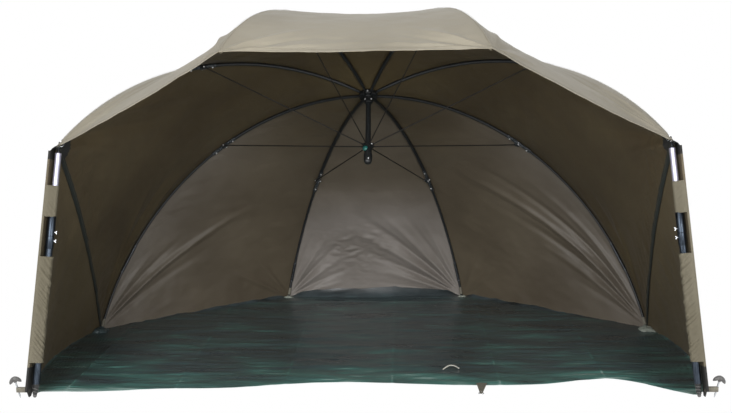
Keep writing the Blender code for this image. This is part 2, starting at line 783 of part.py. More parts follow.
def pole_length(side):
    return (pole_top(side) - pole_foot(side)).length


def pole_matrix(side):
    # Z up the pole, X towards the inside of the shelter.
    up = (pole_top(side) - pole_foot(side)).normalized()
    across = Vector((-side, 0, 0))
    inward = (across - up * across.dot(up)).normalized()
    turn = Matrix((inward, up.cross(inward), up)).transposed().to_4x4()
    return Matrix.Translation(pole_foot(side)) @ turn


def pole_lower_mesh():
    inner = POLE_LOWER_RADIUS - POLE_WALL
    return turned([(POLE_LOWER_RADIUS, POLE_JOINT_HEIGHT), (POLE_LOWER_RADIUS, FOOT_LENGTH),
                   (inner, FOOT_LENGTH), (inner, POLE_JOINT_HEIGHT)])


def pole_upper_mesh():
    # Tube with a plugged and shouldered top, and the thin pin that enters the eyelet.
    length = pole_length(1)
    inner = POLE_UPPER_RADIUS - POLE_WALL
    low = POLE_JOINT_HEIGHT - POLE_OVERLAP
    shoulder = length - POLE_TOP_DROP
    plug = POLE_PIN_LENGTH
    return turned([
        (0, shoulder + POLE_PIN_LENGTH),
        (POLE_PIN_RADIUS / 2, shoulder + POLE_PIN_LENGTH),
        (POLE_PIN_RADIUS, shoulder + POLE_PIN_LENGTH - POLE_PIN_RADIUS / 2),
        (POLE_PIN_RADIUS, shoulder),
        (POLE_UPPER_RADIUS - POLE_WALL, shoulder),
        (POLE_UPPER_RADIUS, shoulder - POLE_WALL),
        (POLE_UPPER_RADIUS, low),
        (inner, low),
        (inner, shoulder - plug),
        (0, shoulder - plug),
    ])


def foot_mesh():
    # A ground point with auger ridges, plugged into the lower tube. Its tip is at the ground.
    plug_radius = POLE_LOWER_RADIUS - POLE_WALL - CLEARANCE
    profile = [(0, FOOT_LENGTH + FOOT_PLUG), (plug_radius, FOOT_LENGTH + FOOT_PLUG),
               (plug_radius, FOOT_LENGTH - CLEARANCE), (POLE_LOWER_RADIUS, FOOT_LENGTH - CLEARANCE)]
    for index in range(FOOT_TURNS):
        high = FOOT_LENGTH * (1 - (index + 1 - FOOT_RIDGE_SHARE) / (FOOT_TURNS + 1))
        low = FOOT_LENGTH * (1 - (index + 1) / (FOOT_TURNS + 1))
        radius = FOOT_TIP_RADIUS + (POLE_LOWER_RADIUS - FOOT_TIP_RADIUS) * high / FOOT_LENGTH
        profile += [(radius - FOOT_RIDGE / 2, high), (radius + FOOT_RIDGE / 2, (high + low) / 2),
                    (radius - FOOT_RIDGE / 2, low)]
    lean = pole_matrix(1).to_3x3() @ Vector((0, 0, 1))
    tip = FOOT_TIP_RADIUS * sqrt(1 - lean.z ** 2)
    return turned(profile + [(FOOT_TIP_RADIUS, tip), (0, tip)], steps=SMALL_SIDES)


def clamp_mesh():
    # A collar over the joint: its lower bore grips the lower tube, its upper one the upper tube.
    low = POLE_JOINT_HEIGHT - CLAMP_BELOW
    high = POLE_JOINT_HEIGHT + CLAMP_ABOVE
    step = POLE_JOINT_HEIGHT + CLEARANCE
    wide = POLE_LOWER_RADIUS + CLEARANCE
    narrow = POLE_UPPER_RADIUS + POLE_FIT
    body = turned([
        (CLAMP_RADIUS - CLAMP_SHOULDER, high),
        (CLAMP_RADIUS, high - CLAMP_SHOULDER),
        (CLAMP_RADIUS, low + CLAMP_SHOULDER),
        (CLAMP_RADIUS - CLAMP_SHOULDER, low),
        (wide, low),
        (wide, step),
        (narrow, step),
        (narrow, high),
    ])
    bores = [cylinder(SCREW_RADIUS + SCREW_FIT, 0, CLAMP_RADIUS + CUT_OVERRUN, SMALL_SIDES,
                      screw_place(level)) for level in (-1, 1)]
    return combined(body, [together(bores)], "DIFFERENCE")


def screw_place(level):
    height = POLE_JOINT_HEIGHT + level * SCREW_SPACING / 2
    return Matrix.Translation((0, 0, height)) @ Matrix.Rotation(pi / 2, 4, "Y")


def screw_mesh(level):
    # A lobed knob on a shank that stops just short of the tube it grips.
    tip = (POLE_LOWER_RADIUS if level < 0 else POLE_UPPER_RADIUS) + POLE_FIT
    shank = cylinder(SCREW_RADIUS, tip, SCREW_REACH, SMALL_SIDES)
    knob = cylinder(SCREW_KNOB_RADIUS, SCREW_KNOB_START, SCREW_KNOB_START + SCREW_KNOB_THICKNESS,
                    2 * SCREW_LOBES)
    for vertex in knob.vertices:
        flat = Vector((vertex.co.x, vertex.co.y, 0))
        turn = round(Vector((1, 0)).angle_signed(flat.xy) / (pi / SCREW_LOBES))
        if turn % 2:
            vertex.co -= flat * (SCREW_RADIUS / SCREW_KNOB_RADIUS / 2)
    return combined(shank, [knob], "UNION")


# Storm sides
def side_panel_rows(side):
    frame = pole_matrix(side)
    length = pole_length(side)
    # In the pole's frame X points inward, so the panel passes on the -X side; the front
    # is on -Y for the left pole and +Y for the right one.
    front = Vector((0, side, 0))
    name = "left" if side < 0 else "right"
    rows = []
    for row in range(SIDE_ROWS + 1):
        share = SIDE_TOP_SHARE + (1 - SIDE_TOP_SHARE) * row / SIDE_ROWS
        height = (length - POLE_TOP_DROP) * (1 - share)
        outside = Vector((-SIDE_CLEAR, 0, height))
        edge = frame @ (outside + front * SIDE_FRONT_FLAP)
        beside = frame @ (outside - front * SIDE_CLEAR)
        edge.z = max(edge.z, CLOTH_THICKNESS / 2)
        beside.z = max(beside.z, CLOTH_THICKNESS / 2)
        hem = hem_point(name, share)
        line = [edge, (edge + beside) / 2]
        for column in range(SIDE_COLUMNS - 1):
            across = column / (SIDE_COLUMNS - 2)
            point = beside.lerp(hem, across)
            point.x += side * SIDE_BULGE * 4 * across * (1 - across) * share
            line.append(point)
        rows.append(line)
    return rows


def hem_point(side, share):
    # On the canopy's side hem, from its corner down to the flank rib's foot, just outside it.
    point = gore_point((side, "side"), (side, "flank"), 1, share)
    inner = gore_point((side, "side"), (side, "flank"), 1 - HEM_BOW, share)
    away = (point - inner).normalized()
    moved = point + away * SIDE_SEAM_GAP
    moved.z = max(moved.z, CLOTH_THICKNESS / 2)
    return moved


def storm_side_mesh(side):
    # The panel with what is sewn to it: two tabs round the pole and the webbing for the peg.
    rows = side_panel_rows(side)
    if side > 0:
        rows = [list(reversed(row)) for row in rows]
    panel = sheet(rows, CLOTH_THICKNESS)
    upper_low = POLE_JOINT_HEIGHT + CLAMP_ABOVE + UPPER_TAB_ABOVE_CLAMP
    lower_high = POLE_JOINT_HEIGHT - CLAMP_BELOW - LOWER_TAB_BELOW_CLAMP
    sewn = [tab_mesh(side, upper_low, upper_low + UPPER_TAB_LENGTH, POLE_UPPER_RADIUS + TAB_CLEAR),
            tab_mesh(side, lower_high - LOWER_TAB_LENGTH, lower_high, POLE_LOWER_RADIUS + TAB_CLEAR),
            peg_webbing_mesh(side)]
    return combined(panel, sewn, "UNION")


def tab_mesh(side, low, high, radius):
    # A strip of cloth from the panel round the front of the pole and in behind it.
    frame = pole_matrix(side)
    seam = SIDE_CLEAR + CLOTH_THICKNESS / 2
    rows = []
    for height in (low, (low + high) / 2, high):
        line = []
        for index in range(TAB_STEPS + 1):
            share = index / TAB_STEPS
            angle = pi - side * TAB_TURN * share
            reach = radius + (seam - radius) * max(0, 1 - TAB_CLOSING * share) ** 2
            line.append(frame @ Vector((reach * cos(angle), reach * sin(angle), height)))
        rows.append(line)
    if side > 0:
        rows = [list(reversed(row)) for row in rows]
    return sheet(rows, CLOTH_THICKNESS)


def peg_webbing_mesh(side):
    # A webbing loop from the foot of the panel round the pin of the peg.
    middle = LOOP_LOW + LOOP_HEIGHT / 2
    pin = peg_matrix(side) @ Vector((0, 0, middle / cos(PEG_LEAN)))
    root = (pole_matrix(side) @ Vector((-SIDE_CLEAR - CLOTH_THICKNESS / 2, 0, middle))).x
    rows = []
    for height in (LOOP_LOW, LOOP_LOW + LOOP_HEIGHT):
        line = [Vector((root, pin.y - LOOP_PEG_RADIUS, height))]
        for index in range(LOOP_STEPS + 1):
            angle = -pi / 2 + pi * index / LOOP_STEPS
            line.append(Vector((pin.x + side * LOOP_PEG_RADIUS * cos(angle),
                                pin.y + LOOP_PEG_RADIUS * sin(angle), height)))
        line.append(Vector((root, pin.y + LOOP_PEG_RADIUS, height)))
        rows.append(line)
    if side < 0:
        rows = [list(reversed(row)) for row in rows]
    return sheet(rows, LOOP_THICKNESS)


# Groundsheet
SHEET_FRONT_SHARES = (0.08, 0.28, 0.40, 0.66, 0.82, 0.90, 0.74, 0.62, 0.72, 0.95, 1.0, 0.66, 0.10)


def sheet_outline():
    flank = on_rib(1, FLANK_BEARING, RIBS["flank"][1])
    rear = on_rib(1, REAR_BEARING, RIBS["rear"][1])
    half = POLE_SPREAD / 2
    front = [Vector((half * (2 * i / (len(SHEET_FRONT_SHARES) - 1) - 1) * (1 - SHEET_SIDE_INSET),
                     SHEET_BEHIND_POLES + SHEET_WAVE * share, 0))
             for i, share in enumerate(SHEET_FRONT_SHARES)]
    side_y = SHEET_BEHIND_POLES + (flank.y - SHEET_BEHIND_POLES) * SHEET_SIDE_SHARE
    right = [Vector((half + SIDE_BULGE / 2, side_y / 2 + SHEET_BEHIND_POLES, 0)),
             Vector((half + SIDE_BULGE * SHEET_BULGE_SHARE, side_y, 0)),
             Vector((flank.x - SHEET_HEM_INSET, flank.y, 0)),
             Vector((rear.x, rear.y - SHEET_HEM_INSET, 0))]
    left = [Vector((-p.x, p.y, 0)) for p in reversed(right)]
    return front + right + left


def groundsheet_mesh():
    data = bpy.data.curves.new("outline", "CURVE")
    data.dimensions = "2D"
    data.fill_mode = "BOTH"
    data.extrude = SHEET_THICKNESS / 2
    line = data.splines.new("POLY")
    points = sheet_outline()
    line.points.add(len(points) - 1)
    for index, point in enumerate(points):
        line.points[index].co = (*point, 1)
    line.use_cyclic_u = True
    mesh = evaluated(guide("outline", data))
    mesh.transform(Matrix.Translation((0, 0, SHEET_THICKNESS / 2)))
    return mesh


# Pegs
def peg_matrix(side):
    foot = pole_foot(side)
    return (Matrix.Translation((foot.x + side * PEG_OUT, foot.y, PEG_RADIUS * sin(PEG_LEAN)))
            @ Matrix.Rotation(side * PEG_LEAN, 4, "Y"))


def peg_mesh():
    pin = turned([
        (0, PEG_LENGTH),
        (PEG_RADIUS, PEG_LENGTH),
        (PEG_RADIUS, PEG_POINT),
        (PEG_RADIUS / 3, 0),
        (0, 0),
    ], steps=SMALL_SIDES)
    neck = cylinder(PEG_NECK_RADIUS, PEG_LENGTH - PEG_NECK_LENGTH, PEG_LENGTH + PEG_HEAD_RADIUS,
                    SMALL_SIDES)
    lie = Matrix.Translation((0, 0, PEG_LENGTH + PEG_HEAD_RADIUS / 2)) @ Matrix.Rotation(pi / 2, 4, "Y")
    half = PEG_HEAD_LENGTH / 2
    bar = cylinder(PEG_HEAD_RADIUS, -half, half, ROUND_SIDES, lie)
    return combined(pin, [neck, bar], "UNION")


def build_umbrella(root):
    canopy_frame = empty("umbrella", root, umbrella_matrix())
    part("hub_crown", hub_crown_mesh(), canopy_frame, "hub_nylon")
    part("crown_cap", crown_cap_mesh(), canopy_frame, "hub_nylon")
    part("rib_hinge_ring", ring(PIVOT_RADIUS, RING_WIRE), canopy_frame, "pin_steel")
    part("centre_tube", centre_tube_mesh(), canopy_frame, "rib_black")

    runner_frame = empty("runner_slide", canopy_frame, Matrix.Translation((0, 0, -RUNNER_PIN_DROP)))
    part("runner", runner_mesh(), runner_frame, "hub_nylon")
    part("runner_end_cap", end_cap_mesh(), runner_frame, "hub_nylon")
    part("stretcher_hinge_ring", ring(RUNNER_PIN_RADIUS, STRETCHER_RING_WIRE), runner_frame,
         "pin_steel")
    button_frame = empty("button_slide", runner_frame, button_place(RUNNER_PIN_DROP))
    part("release_button", button_mesh(), button_frame, "button_green")
    part("button_spring", spring_mesh(), button_frame, "pin_steel")

    upper = rib_upper_mesh()
    bracket = bracket_mesh()
    rod = stretcher_mesh()
    reach = stretcher_reach()
    rod_rise = acos(reach.normalized()[0])
    for name, (bearing, length) in RIBS.items():
        lower = rib_lower_mesh(length, name in ("flank", "rear"))
        for side_name, side in SIDES.items():
            turn = rib_turn(side, bearing)
            label = name + "_" + side_name
            hinge = empty("rib_hinge_" + label, canopy_frame,
                          turn @ Matrix.Translation((PIVOT_RADIUS, 0, 0)))
            part("rib_" + label + "_upper", upper, hinge, "rib_black")
            part("rib_" + label + "_bracket", bracket, hinge, "bracket_steel")
            part("rib_" + label + "_lower", lower, hinge, "rib_black")
            pivot = empty("stretcher_hinge_" + label, runner_frame,
                          turn @ Matrix.Translation((RUNNER_PIN_RADIUS, 0, 0)))
            part("stretcher_" + label, rod, pivot, "rib_black", Matrix.Rotation(-rod_rise, 4, "Y"))


def build_cloth(root):
    part("canopy", canopy_mesh(), root, "canopy_cloth")
    for side_name, side in SIDES.items():
        part("storm_side_" + side_name, storm_side_mesh(side), root, "storm_cloth")
    part("groundsheet", groundsheet_mesh(), root, "groundsheet_pe")


def build_poles(root):
    lower = pole_lower_mesh()
    upper = pole_upper_mesh()
    foot = foot_mesh()
    clamp = clamp_mesh()
    screws = {"lower": screw_mesh(-1), "upper": screw_mesh(1)}
    for side_name, side in SIDES.items():
        frame = empty("storm_pole_" + side_name, root, pole_matrix(side))
        part("pole_lower_tube_" + side_name, lower, frame, "pole_gunmetal")
        part("pole_upper_tube_" + side_name, upper, frame, "pole_silver")
        part("pole_foot_" + side_name, foot, frame, "hub_nylon")
        part("pole_clamp_" + side_name, clamp, frame, "bracket_steel")
        for level_name, level in (("lower", -1), ("upper", 1)):
            part("thumbscrew_" + level_name + "_" + side_name, screws[level_name], frame,
                 "pin_steel", screw_place(level))


def build_pegs(root):
    peg = peg_mesh()
    for side_name, side in SIDES.items():
        part("peg_" + side_name, peg, root, "peg_plastic", peg_matrix(side))


def centre_model(root):
    # The origin is on the ground, at the middle of the whole shelter.
    bpy.context.view_layer.update()
    corners = [item.matrix_world @ vertex.co for item in parts.objects if item.type == "MESH"
               for vertex in item.data.vertices]
    low = [min(c[axis] for c in corners) for axis in range(3)]
    high = [max(c[axis] for c in corners) for axis in range(3)]
    shift = Vector((-(low[0] + high[0]) / 2, -(low[1] + high[1]) / 2, -low[2]))
    root.matrix_local = Matrix.Translation(shift)
    bpy.context.view_layer.update()
    size = [h - l for l, h in zip(low, high)]
    print("shift", [round(v, 6) for v in shift], "size", [round(v, 4) for v in size])


clear_scene()
parts = new_collection(UMBRELLA_NAME)
cutters = new_collection("cutters")
shelter = empty("shelter", None, Matrix())
build_umbrella(shelter)
build_cloth(shelter)
build_poles(shelter)
build_pegs(shelter)
for item in parts.objects:
    if item.type == "MESH":
        shade(item.data)
centre_model(shelter)
triangles = sum(len(p.vertices) - 2 for item in parts.objects if item.type == "MESH"
                for p in item.data.polygons)
print("parts", sum(item.type == "MESH" for item in parts.objects), "triangles", triangles)
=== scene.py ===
# %% [markdown]
# # Oval fishing umbrella
#
# A fishing umbrella is one big dome on eight ribs. It leans back until its flank and
# rear ribs touch the ground, and two storm poles carry the side ribs. This file dresses
# the measured frame of such a shelter: cloth, metal, webbing and a groundsheet.
#
# The frame is loaded first. Every size is in metres, and every piece made here lies
# where the frame's own node lies, so nothing is fitted by eye afterwards.

# %% Load the frame
from math import cos, pi, radians, sin, sqrt

import bmesh
import bpy
import numpy as np
from mathutils import Matrix, Vector, noise


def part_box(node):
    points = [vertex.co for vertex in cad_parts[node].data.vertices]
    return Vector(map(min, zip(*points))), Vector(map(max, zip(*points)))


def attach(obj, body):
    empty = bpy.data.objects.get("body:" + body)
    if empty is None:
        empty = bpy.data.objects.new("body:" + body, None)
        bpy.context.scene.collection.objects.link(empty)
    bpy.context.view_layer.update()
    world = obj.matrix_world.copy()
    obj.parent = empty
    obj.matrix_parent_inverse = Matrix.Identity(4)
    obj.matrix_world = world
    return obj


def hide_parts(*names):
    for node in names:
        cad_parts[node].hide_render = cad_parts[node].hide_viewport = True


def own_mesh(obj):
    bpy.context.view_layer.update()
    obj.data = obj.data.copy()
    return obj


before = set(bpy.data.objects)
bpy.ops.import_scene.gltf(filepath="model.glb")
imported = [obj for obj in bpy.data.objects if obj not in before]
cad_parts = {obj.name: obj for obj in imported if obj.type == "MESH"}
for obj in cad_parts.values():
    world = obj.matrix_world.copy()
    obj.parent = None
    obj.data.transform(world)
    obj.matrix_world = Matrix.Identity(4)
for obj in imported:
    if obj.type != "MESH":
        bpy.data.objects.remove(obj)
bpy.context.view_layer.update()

# %% [markdown]
# ## Names for the real sizes
#
# The ribs are all one arc, seen from the hub, so a point of the dome is found from three
# things: which rib, how far along it, and how far out from it. The same rule places the
# ribs, the cloth on them and the seams, which is why it comes before any piece.

# %% The dome's rule
SIDES = {"left": -1, "right": 1}
ring_low, ring_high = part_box("rib_hinge_ring")
HUB = (ring_low + ring_high) / 2
TILT = radians(32.4)
PIVOT_RADIUS = 0.032
RIB_RISE = radians(13.7)
RIB_BEND_RADIUS = 1.188
BEARINGS = {"front": radians(20.0), "side": radians(61.9),
            "flank": radians(115.7), "rear": radians(158.9)}
FREE_LENGTHS = {"front": 1.538, "side": 1.530}
RIB_TIP_RADIUS = 0.006
FOOT_HEIGHT = 0.0019
UMBRELLA = Matrix.Translation(HUB) @ Matrix.Rotation(-TILT, 4, "X")
DOME_CENTRE = UMBRELLA @ Vector((0, 0, -RIB_BEND_RADIUS))


def rib_turn(side, name):
    return Matrix.Rotation(side * (BEARINGS[name] - pi / 2) + (0 if side > 0 else pi), 4, "Z")


def rib_frame(side, name):
    """World matrix of one rib's plane: X runs outward from the hub and Z towards the crown."""
    return UMBRELLA @ rib_turn(side, name)


def rib_across(side, name):
    """The direction square to one rib's plane."""
    return rib_frame(side, name).to_3x3() @ Vector((0, 1, 0))


def rib_points(side, name, length, stand_off):
    """World points at these lengths along a rib, each standing off it by so much."""
    length, stand_off = np.broadcast_arrays(np.asarray(length, float), np.asarray(stand_off, float))
    angle = length / RIB_BEND_RADIUS - RIB_RISE
    out = PIVOT_RADIUS + RIB_BEND_RADIUS * (np.sin(angle) + sin(RIB_RISE)) + stand_off * np.sin(angle)
    rise = stand_off * np.cos(angle) - RIB_BEND_RADIUS * (cos(RIB_RISE) - np.cos(angle))
    matrix = np.array(rib_frame(side, name))
    return out[..., None] * matrix[:3, 0] + rise[..., None] * matrix[:3, 2] + matrix[:3, 3]


def length_to_ground(name, height, end_radius, stand_off=0.0):
    """The length at which a rib of that end radius comes down to a height."""
    short, long = RIB_BEND_RADIUS / 2, RIB_BEND_RADIUS * 2
    for _ in range(50):
        middle = (short + long) / 2
        step = rib_points(1, name, [middle, middle + RIB_TIP_RADIUS], stand_off)
        slope = (step[1] - step[0])[2] / np.linalg.norm(step[1] - step[0])
        if step[0][2] - end_radius * sqrt(1 - slope * slope) > height:
            short = middle
        else:
            long = middle
    return short


RIB_LENGTHS = dict(FREE_LENGTHS)
for rib_name in ("flank", "rear"):
    RIB_LENGTHS[rib_name] = length_to_ground(rib_name, FOOT_HEIGHT, RIB_TIP_RADIUS)
print("rib lengths:", {name: round(length, 3) for name, length in RIB_LENGTHS.items()})

# %% [markdown]
# ## Materials
#
# Each material starts from what the real one is. Colours are written as the sRGB hex
# value that an eye reads off the object, and one function turns them to the linear
# numbers that a shader wants. One small function adds a node, and each finish below is
# then a short list of nodes.

# %% Helpers for materials
def linear(code):
    """A linear colour from an sRGB hex value such as '8A8271'."""
    levels = [int(code[i:i + 2], 16) / 255 for i in (0, 2, 4)]
    return tuple(v / 12.92 if v <= 0.04045 else ((v + 0.055) / 1.055) ** 2.4 for v in levels) + (1.0,)


def add(tree, kind, sockets=None, **settings):
    """A node with its settings, and each socket either set or linked."""
    made = tree.nodes.new(kind)
    for key, value in settings.items():
        setattr(made, key, value)
    for key, value in (sockets or {}).items():
        if isinstance(value, bpy.types.NodeSocket):
            tree.links.new(value, made.inputs[key])
        else:
            made.inputs[key].default_value = value
    return made


def ramp(tree, factor, stops):
    """A colour ramp with (place, hex) stops."""
    made = add(tree, "ShaderNodeValToRGB", {"Fac": factor})
    band = made.color_ramp
    while len(band.elements) < len(stops):
        band.elements.new(1.0)
    for element, (place, code) in zip(band.elements, stops):
        element.position = place
        element.color = linear(code)
    return made.outputs["Color"]


def surface(name, **sockets):
    """A material with one Principled shader. Returns it, its tree and the shader."""
    made = bpy.data.materials.new(name)
    made.use_nodes = True
    shader = made.node_tree.nodes["Principled BSDF"]
    for key, value in sockets.items():
        shader.inputs[key.replace("_", " ")].default_value = value
    return made, made.node_tree, shader


def bump(tree, shader, height, depth, strength=1.0, under=None):
    """Adds a height in metres to the shader's normal."""
    sockets = {"Height": height, "Distance": depth, "Strength": strength}
    if under is not None:
        sockets["Normal"] = under
    made = add(tree, "ShaderNodeBump", sockets)
    tree.links.new(made.outputs["Normal"], shader.inputs["Normal"])
    return made.outputs["Normal"]


# %% [markdown]
# The canopy is woven polyester with a waterproof coating. Outside it is a matt khaki.
# Inside, the coating gives a darker brown with a faint sheen. A thread is about 0.3 mm
# wide, too fine to show from a few steps away, so the weave is drawn at 1.6 mm, on the
# cloth's own UV map, which is in metres along and across each panel. A slow cloud of
# colour keeps a big panel from looking printed, and fine crumple marks from packing are
# left to bump, while the large folds are in the mesh.

# %% Woven cloth, coated polyester
WEAVE_PITCH, WEAVE_HEIGHT = 0.0016, 0.00006
CRUMPLE_SIZE = 0.045
CLOUD_SIZE = 0.35


def thread_waves(tree, place, pitch, axes="XY"):
    """Ridges at that pitch along each axis. Two sets, multiplied, make a grid of threads."""
    split = add(tree, "ShaderNodeSeparateXYZ", {"Vector": place})
    waves = []
    for axis in axes:
        turn = add(tree, "ShaderNodeMath", {0: split.outputs[axis], 1: 2 * pi / pitch}, operation="MULTIPLY")
        waves.append(add(tree, "ShaderNodeMath", {0: turn.outputs[0]}, operation="SINE").outputs[0])
    if len(waves) == 1:
        return waves[0]
    return add(tree, "ShaderNodeMath", {0: waves[0], 1: waves[1]}, operation="MULTIPLY").outputs[0]


def woven(name, dark, pale, rough, sheen, crumple, tones=None):
    """Coated polyester. tones are the dark and pale colours of painted daylight, used where a panel's tone is
    1.
    """
    made, tree, shader = surface(name, Roughness=rough, Sheen_Weight=sheen, Sheen_Roughness=0.4,
                                 Specular_IOR_Level=0.35)
    place = add(tree, "ShaderNodeUVMap", uv_map="cloth").outputs["UV"]
    spot = add(tree, "ShaderNodeTexCoord").outputs["Object"]
    cloud = add(tree, "ShaderNodeTexNoise", {"Vector": spot, "Scale": 1 / CLOUD_SIZE, "Detail": 3.0})
    colour = ramp(tree, cloud.outputs["Fac"], [(0.35, dark), (0.65, pale)])
    if tones:
        other = ramp(tree, cloud.outputs["Fac"], [(0.35, tones[0]), (0.65, tones[1])])
        tone = add(tree, "ShaderNodeAttribute", attribute_name="tone").outputs["Fac"]
        mixed = {"Factor": tone, 6: colour, 7: other}
        colour = add(tree, "ShaderNodeMix", mixed, data_type="RGBA").outputs[2]
    tree.links.new(colour, shader.inputs["Base Color"])
    under = bump(tree, shader, thread_waves(tree, place, WEAVE_PITCH), WEAVE_HEIGHT, 0.5)
    marks = add(tree, "ShaderNodeTexNoise", {"Vector": spot, "Scale": 1 / CRUMPLE_SIZE, "Detail": 2.0,
                                            "Roughness": 0.5, "Distortion": 0.6})
    bump(tree, shader, marks.outputs["Fac"], crumple, 0.5, under)
    return made


OUTER_CLOTH = woven("coated_polyester_outside", "979080", "A39C8C", 0.72, 0.12, 0.0008)
# Inside, the tones are painted daylight: the pale grey that light shining through the cloth gives the panels
# low at the back.
INNER_CLOTH = woven("coated_polyester_inside", "493E2A", "544932", 0.44, 0.05, 0.0012,
                    tones=("7B756F", "8A847F"))
STORM_CLOTH = woven("coated_polyester_storm_side", "574D39", "625742", 0.50, 0.06, 0.0010)
TAB_CLOTH = woven("coated_polyester_tab", "676150", "746E5E", 0.66, 0.08, 0.0008)

# %% [markdown]
# Binding tape and webbing are thick woven polypropylene. Their ribs run across the tape,
# about 1.4 mm apart, and catch the light as a fine ladder.

# %% Webbing and binding tape
LADDER_PITCH, LADDER_HEIGHT = 0.0014, 0.00012
YARN_SIZE = 1 / 90


def webbing(name, dark, pale, rough):
    """Webbing whose ribs run across its length."""
    made, tree, shader = surface(name, Roughness=rough)
    place = add(tree, "ShaderNodeUVMap", uv_map="cloth").outputs["UV"]
    cloud = add(tree, "ShaderNodeTexNoise", {"Vector": place, "Scale": 1 / YARN_SIZE, "Detail": 2.0})
    colour = ramp(tree, cloud.outputs["Fac"], [(0.3, dark), (0.7, pale)])
    tree.links.new(colour, shader.inputs["Base Color"])
    bump(tree, shader, thread_waves(tree, place, LADDER_PITCH, "Y"), LADDER_HEIGHT, 0.6)
    return made


BINDING = webbing("woven_binding_tape", "1C2220", "2A302D", 0.75)
BLACK_WEBBING = webbing("woven_webbing_black", "1A1A19", "262624", 0.80)
GREY_WEBBING = webbing("woven_webbing_grey", "6E6A60", "8A8678", 0.80)

# %% [markdown]
# The groundsheet is a woven polyethylene tarpaulin, dark teal and laminated on both
# faces, so it has a satin shine and a fine grid from its flat tapes. Where it has been
# folded and walked on the laminate is rubbed paler, in streaks that follow the wrinkles.

# %% Groundsheet, laminated polyethylene tarpaulin
TAPE_PITCH, TAPE_HEIGHT = 0.0030, 0.00008
CREASE_HEIGHT = 0.0006
STREAK_STRETCH, SCRAPE_STRETCH, SCRAPE_TURN = (1.2, 4.2, 1.0), (1.6, 15.0, 1.0), 0.05
FOLD_AT, FOLD_PITCH, FOLD_MARK = (0.110, 0.0), (0.437, 0.310), 0.007
FOLD_PALE, SCRAPE_PALE = 0.20, 0.30
TARP_TONES = [(0.06, "1B2325"), (0.34, "414B4F"), (0.54, "48585B"), (0.68, "4C6967"), (0.84, "5A8C84"),
              (1.0, "9FBAB4")]


def fold_lines(tree, place):
    """1 on the lines where the sheet was folded to be packed, and 0 away from them."""
    split = add(tree, "ShaderNodeSeparateXYZ", {"Vector": place})
    near = []
    for axis, start, pitch in zip("XY", FOLD_AT, FOLD_PITCH):
        moved = add(tree, "ShaderNodeMath", {0: split.outputs[axis], 1: start}, operation="SUBTRACT")
        off = add(tree, "ShaderNodeMath", {0: moved.outputs[0], 1: pitch / 2}, operation="PINGPONG")
        near.append(add(tree, "ShaderNodeMapRange", {"Value": off.outputs[0], "From Max": FOLD_MARK,
                                                     "To Min": 1.0, "To Max": 0.0}).outputs[0])
    return add(tree, "ShaderNodeMath", {0: near[0], 1: near[1]}, operation="MAXIMUM").outputs[0]


def tarpaulin(name):
    """Laminated tapes, rubbed paler in streaks, along the folds and in long thin scrapes."""
    made, tree, shader = surface(name, Roughness=0.36, Specular_IOR_Level=0.75)
    place = add(tree, "ShaderNodeUVMap", uv_map="cloth").outputs["UV"]
    stretch = add(tree, "ShaderNodeMapping", {"Vector": place, "Scale": STREAK_STRETCH})
    streak = add(tree, "ShaderNodeTexNoise", {"Vector": stretch.outputs[0], "Scale": 2.2, "Detail": 4.0,
                                             "Roughness": 0.50, "Distortion": 0.6})
    broken = add(tree, "ShaderNodeTexNoise", {"Vector": place, "Scale": 9.0, "Detail": 3.0})
    patchy = add(tree, "ShaderNodeMapRange", {"Value": broken.outputs["Fac"], "From Min": 0.42,
                                             "From Max": 0.62, "To Max": FOLD_PALE})
    marks = add(tree, "ShaderNodeMath", {0: fold_lines(tree, place), 1: patchy.outputs[0]},
                operation="MULTIPLY")
    long = add(tree, "ShaderNodeMapping", {"Vector": place, "Rotation": (0, 0, SCRAPE_TURN),
                                           "Scale": SCRAPE_STRETCH})
    scrape = add(tree, "ShaderNodeTexNoise", {"Vector": long.outputs[0], "Scale": 2.6, "Detail": 5.0})
    rubbed = add(tree, "ShaderNodeMapRange", {"Value": scrape.outputs["Fac"], "From Min": 0.58,
                                             "From Max": 0.72, "To Max": SCRAPE_PALE})
    # The tone attribute draws the sheet paler towards its front edge, adds a cloud of wear, and darkens it
    # with painted shade where it laps up at the back.
    worn = add(tree, "ShaderNodeAttribute", attribute_name="tone")
    mixed = marks
    for more in (rubbed.outputs[0], worn.outputs["Fac"], streak.outputs["Fac"]):
        mixed = add(tree, "ShaderNodeMath", {0: mixed.outputs[0], 1: more}, operation="ADD")
    tree.links.new(ramp(tree, mixed.outputs[0], TARP_TONES), shader.inputs["Base Color"])
    rub = add(tree, "ShaderNodeMapRange", {"Value": streak.outputs["Fac"], "To Min": 0.20, "To Max": 0.40})
    tree.links.new(rub.outputs[0], shader.inputs["Roughness"])
    under = bump(tree, shader, thread_waves(tree, place, TAPE_PITCH), TAPE_HEIGHT, 0.4)
    creases = add(tree, "ShaderNodeTexNoise", {"Vector": stretch.outputs[0], "Scale": 9.0, "Detail": 4.0},
                  noise_type="RIDGED_MULTIFRACTAL")
    bump(tree, shader, creases.outputs["Fac"], CREASE_HEIGHT, 0.5, under)
    return made


SHEET_TARP = tarpaulin("laminated_tarpaulin")

# %% [markdown]
# The hard parts are few: black enamelled steel ribs, moulded nylon fittings, plated
# steel wire and rivets, and two grades of anodised aluminium tube. A rubbed finish is
# never even, so each one has a noise in its roughness and a little wear in its colour,
# both on Object coordinates, at the size of real scuffs, 4 to 12 mm.

# %% Hard materials
DRAWN = (1, 1, 0.1)


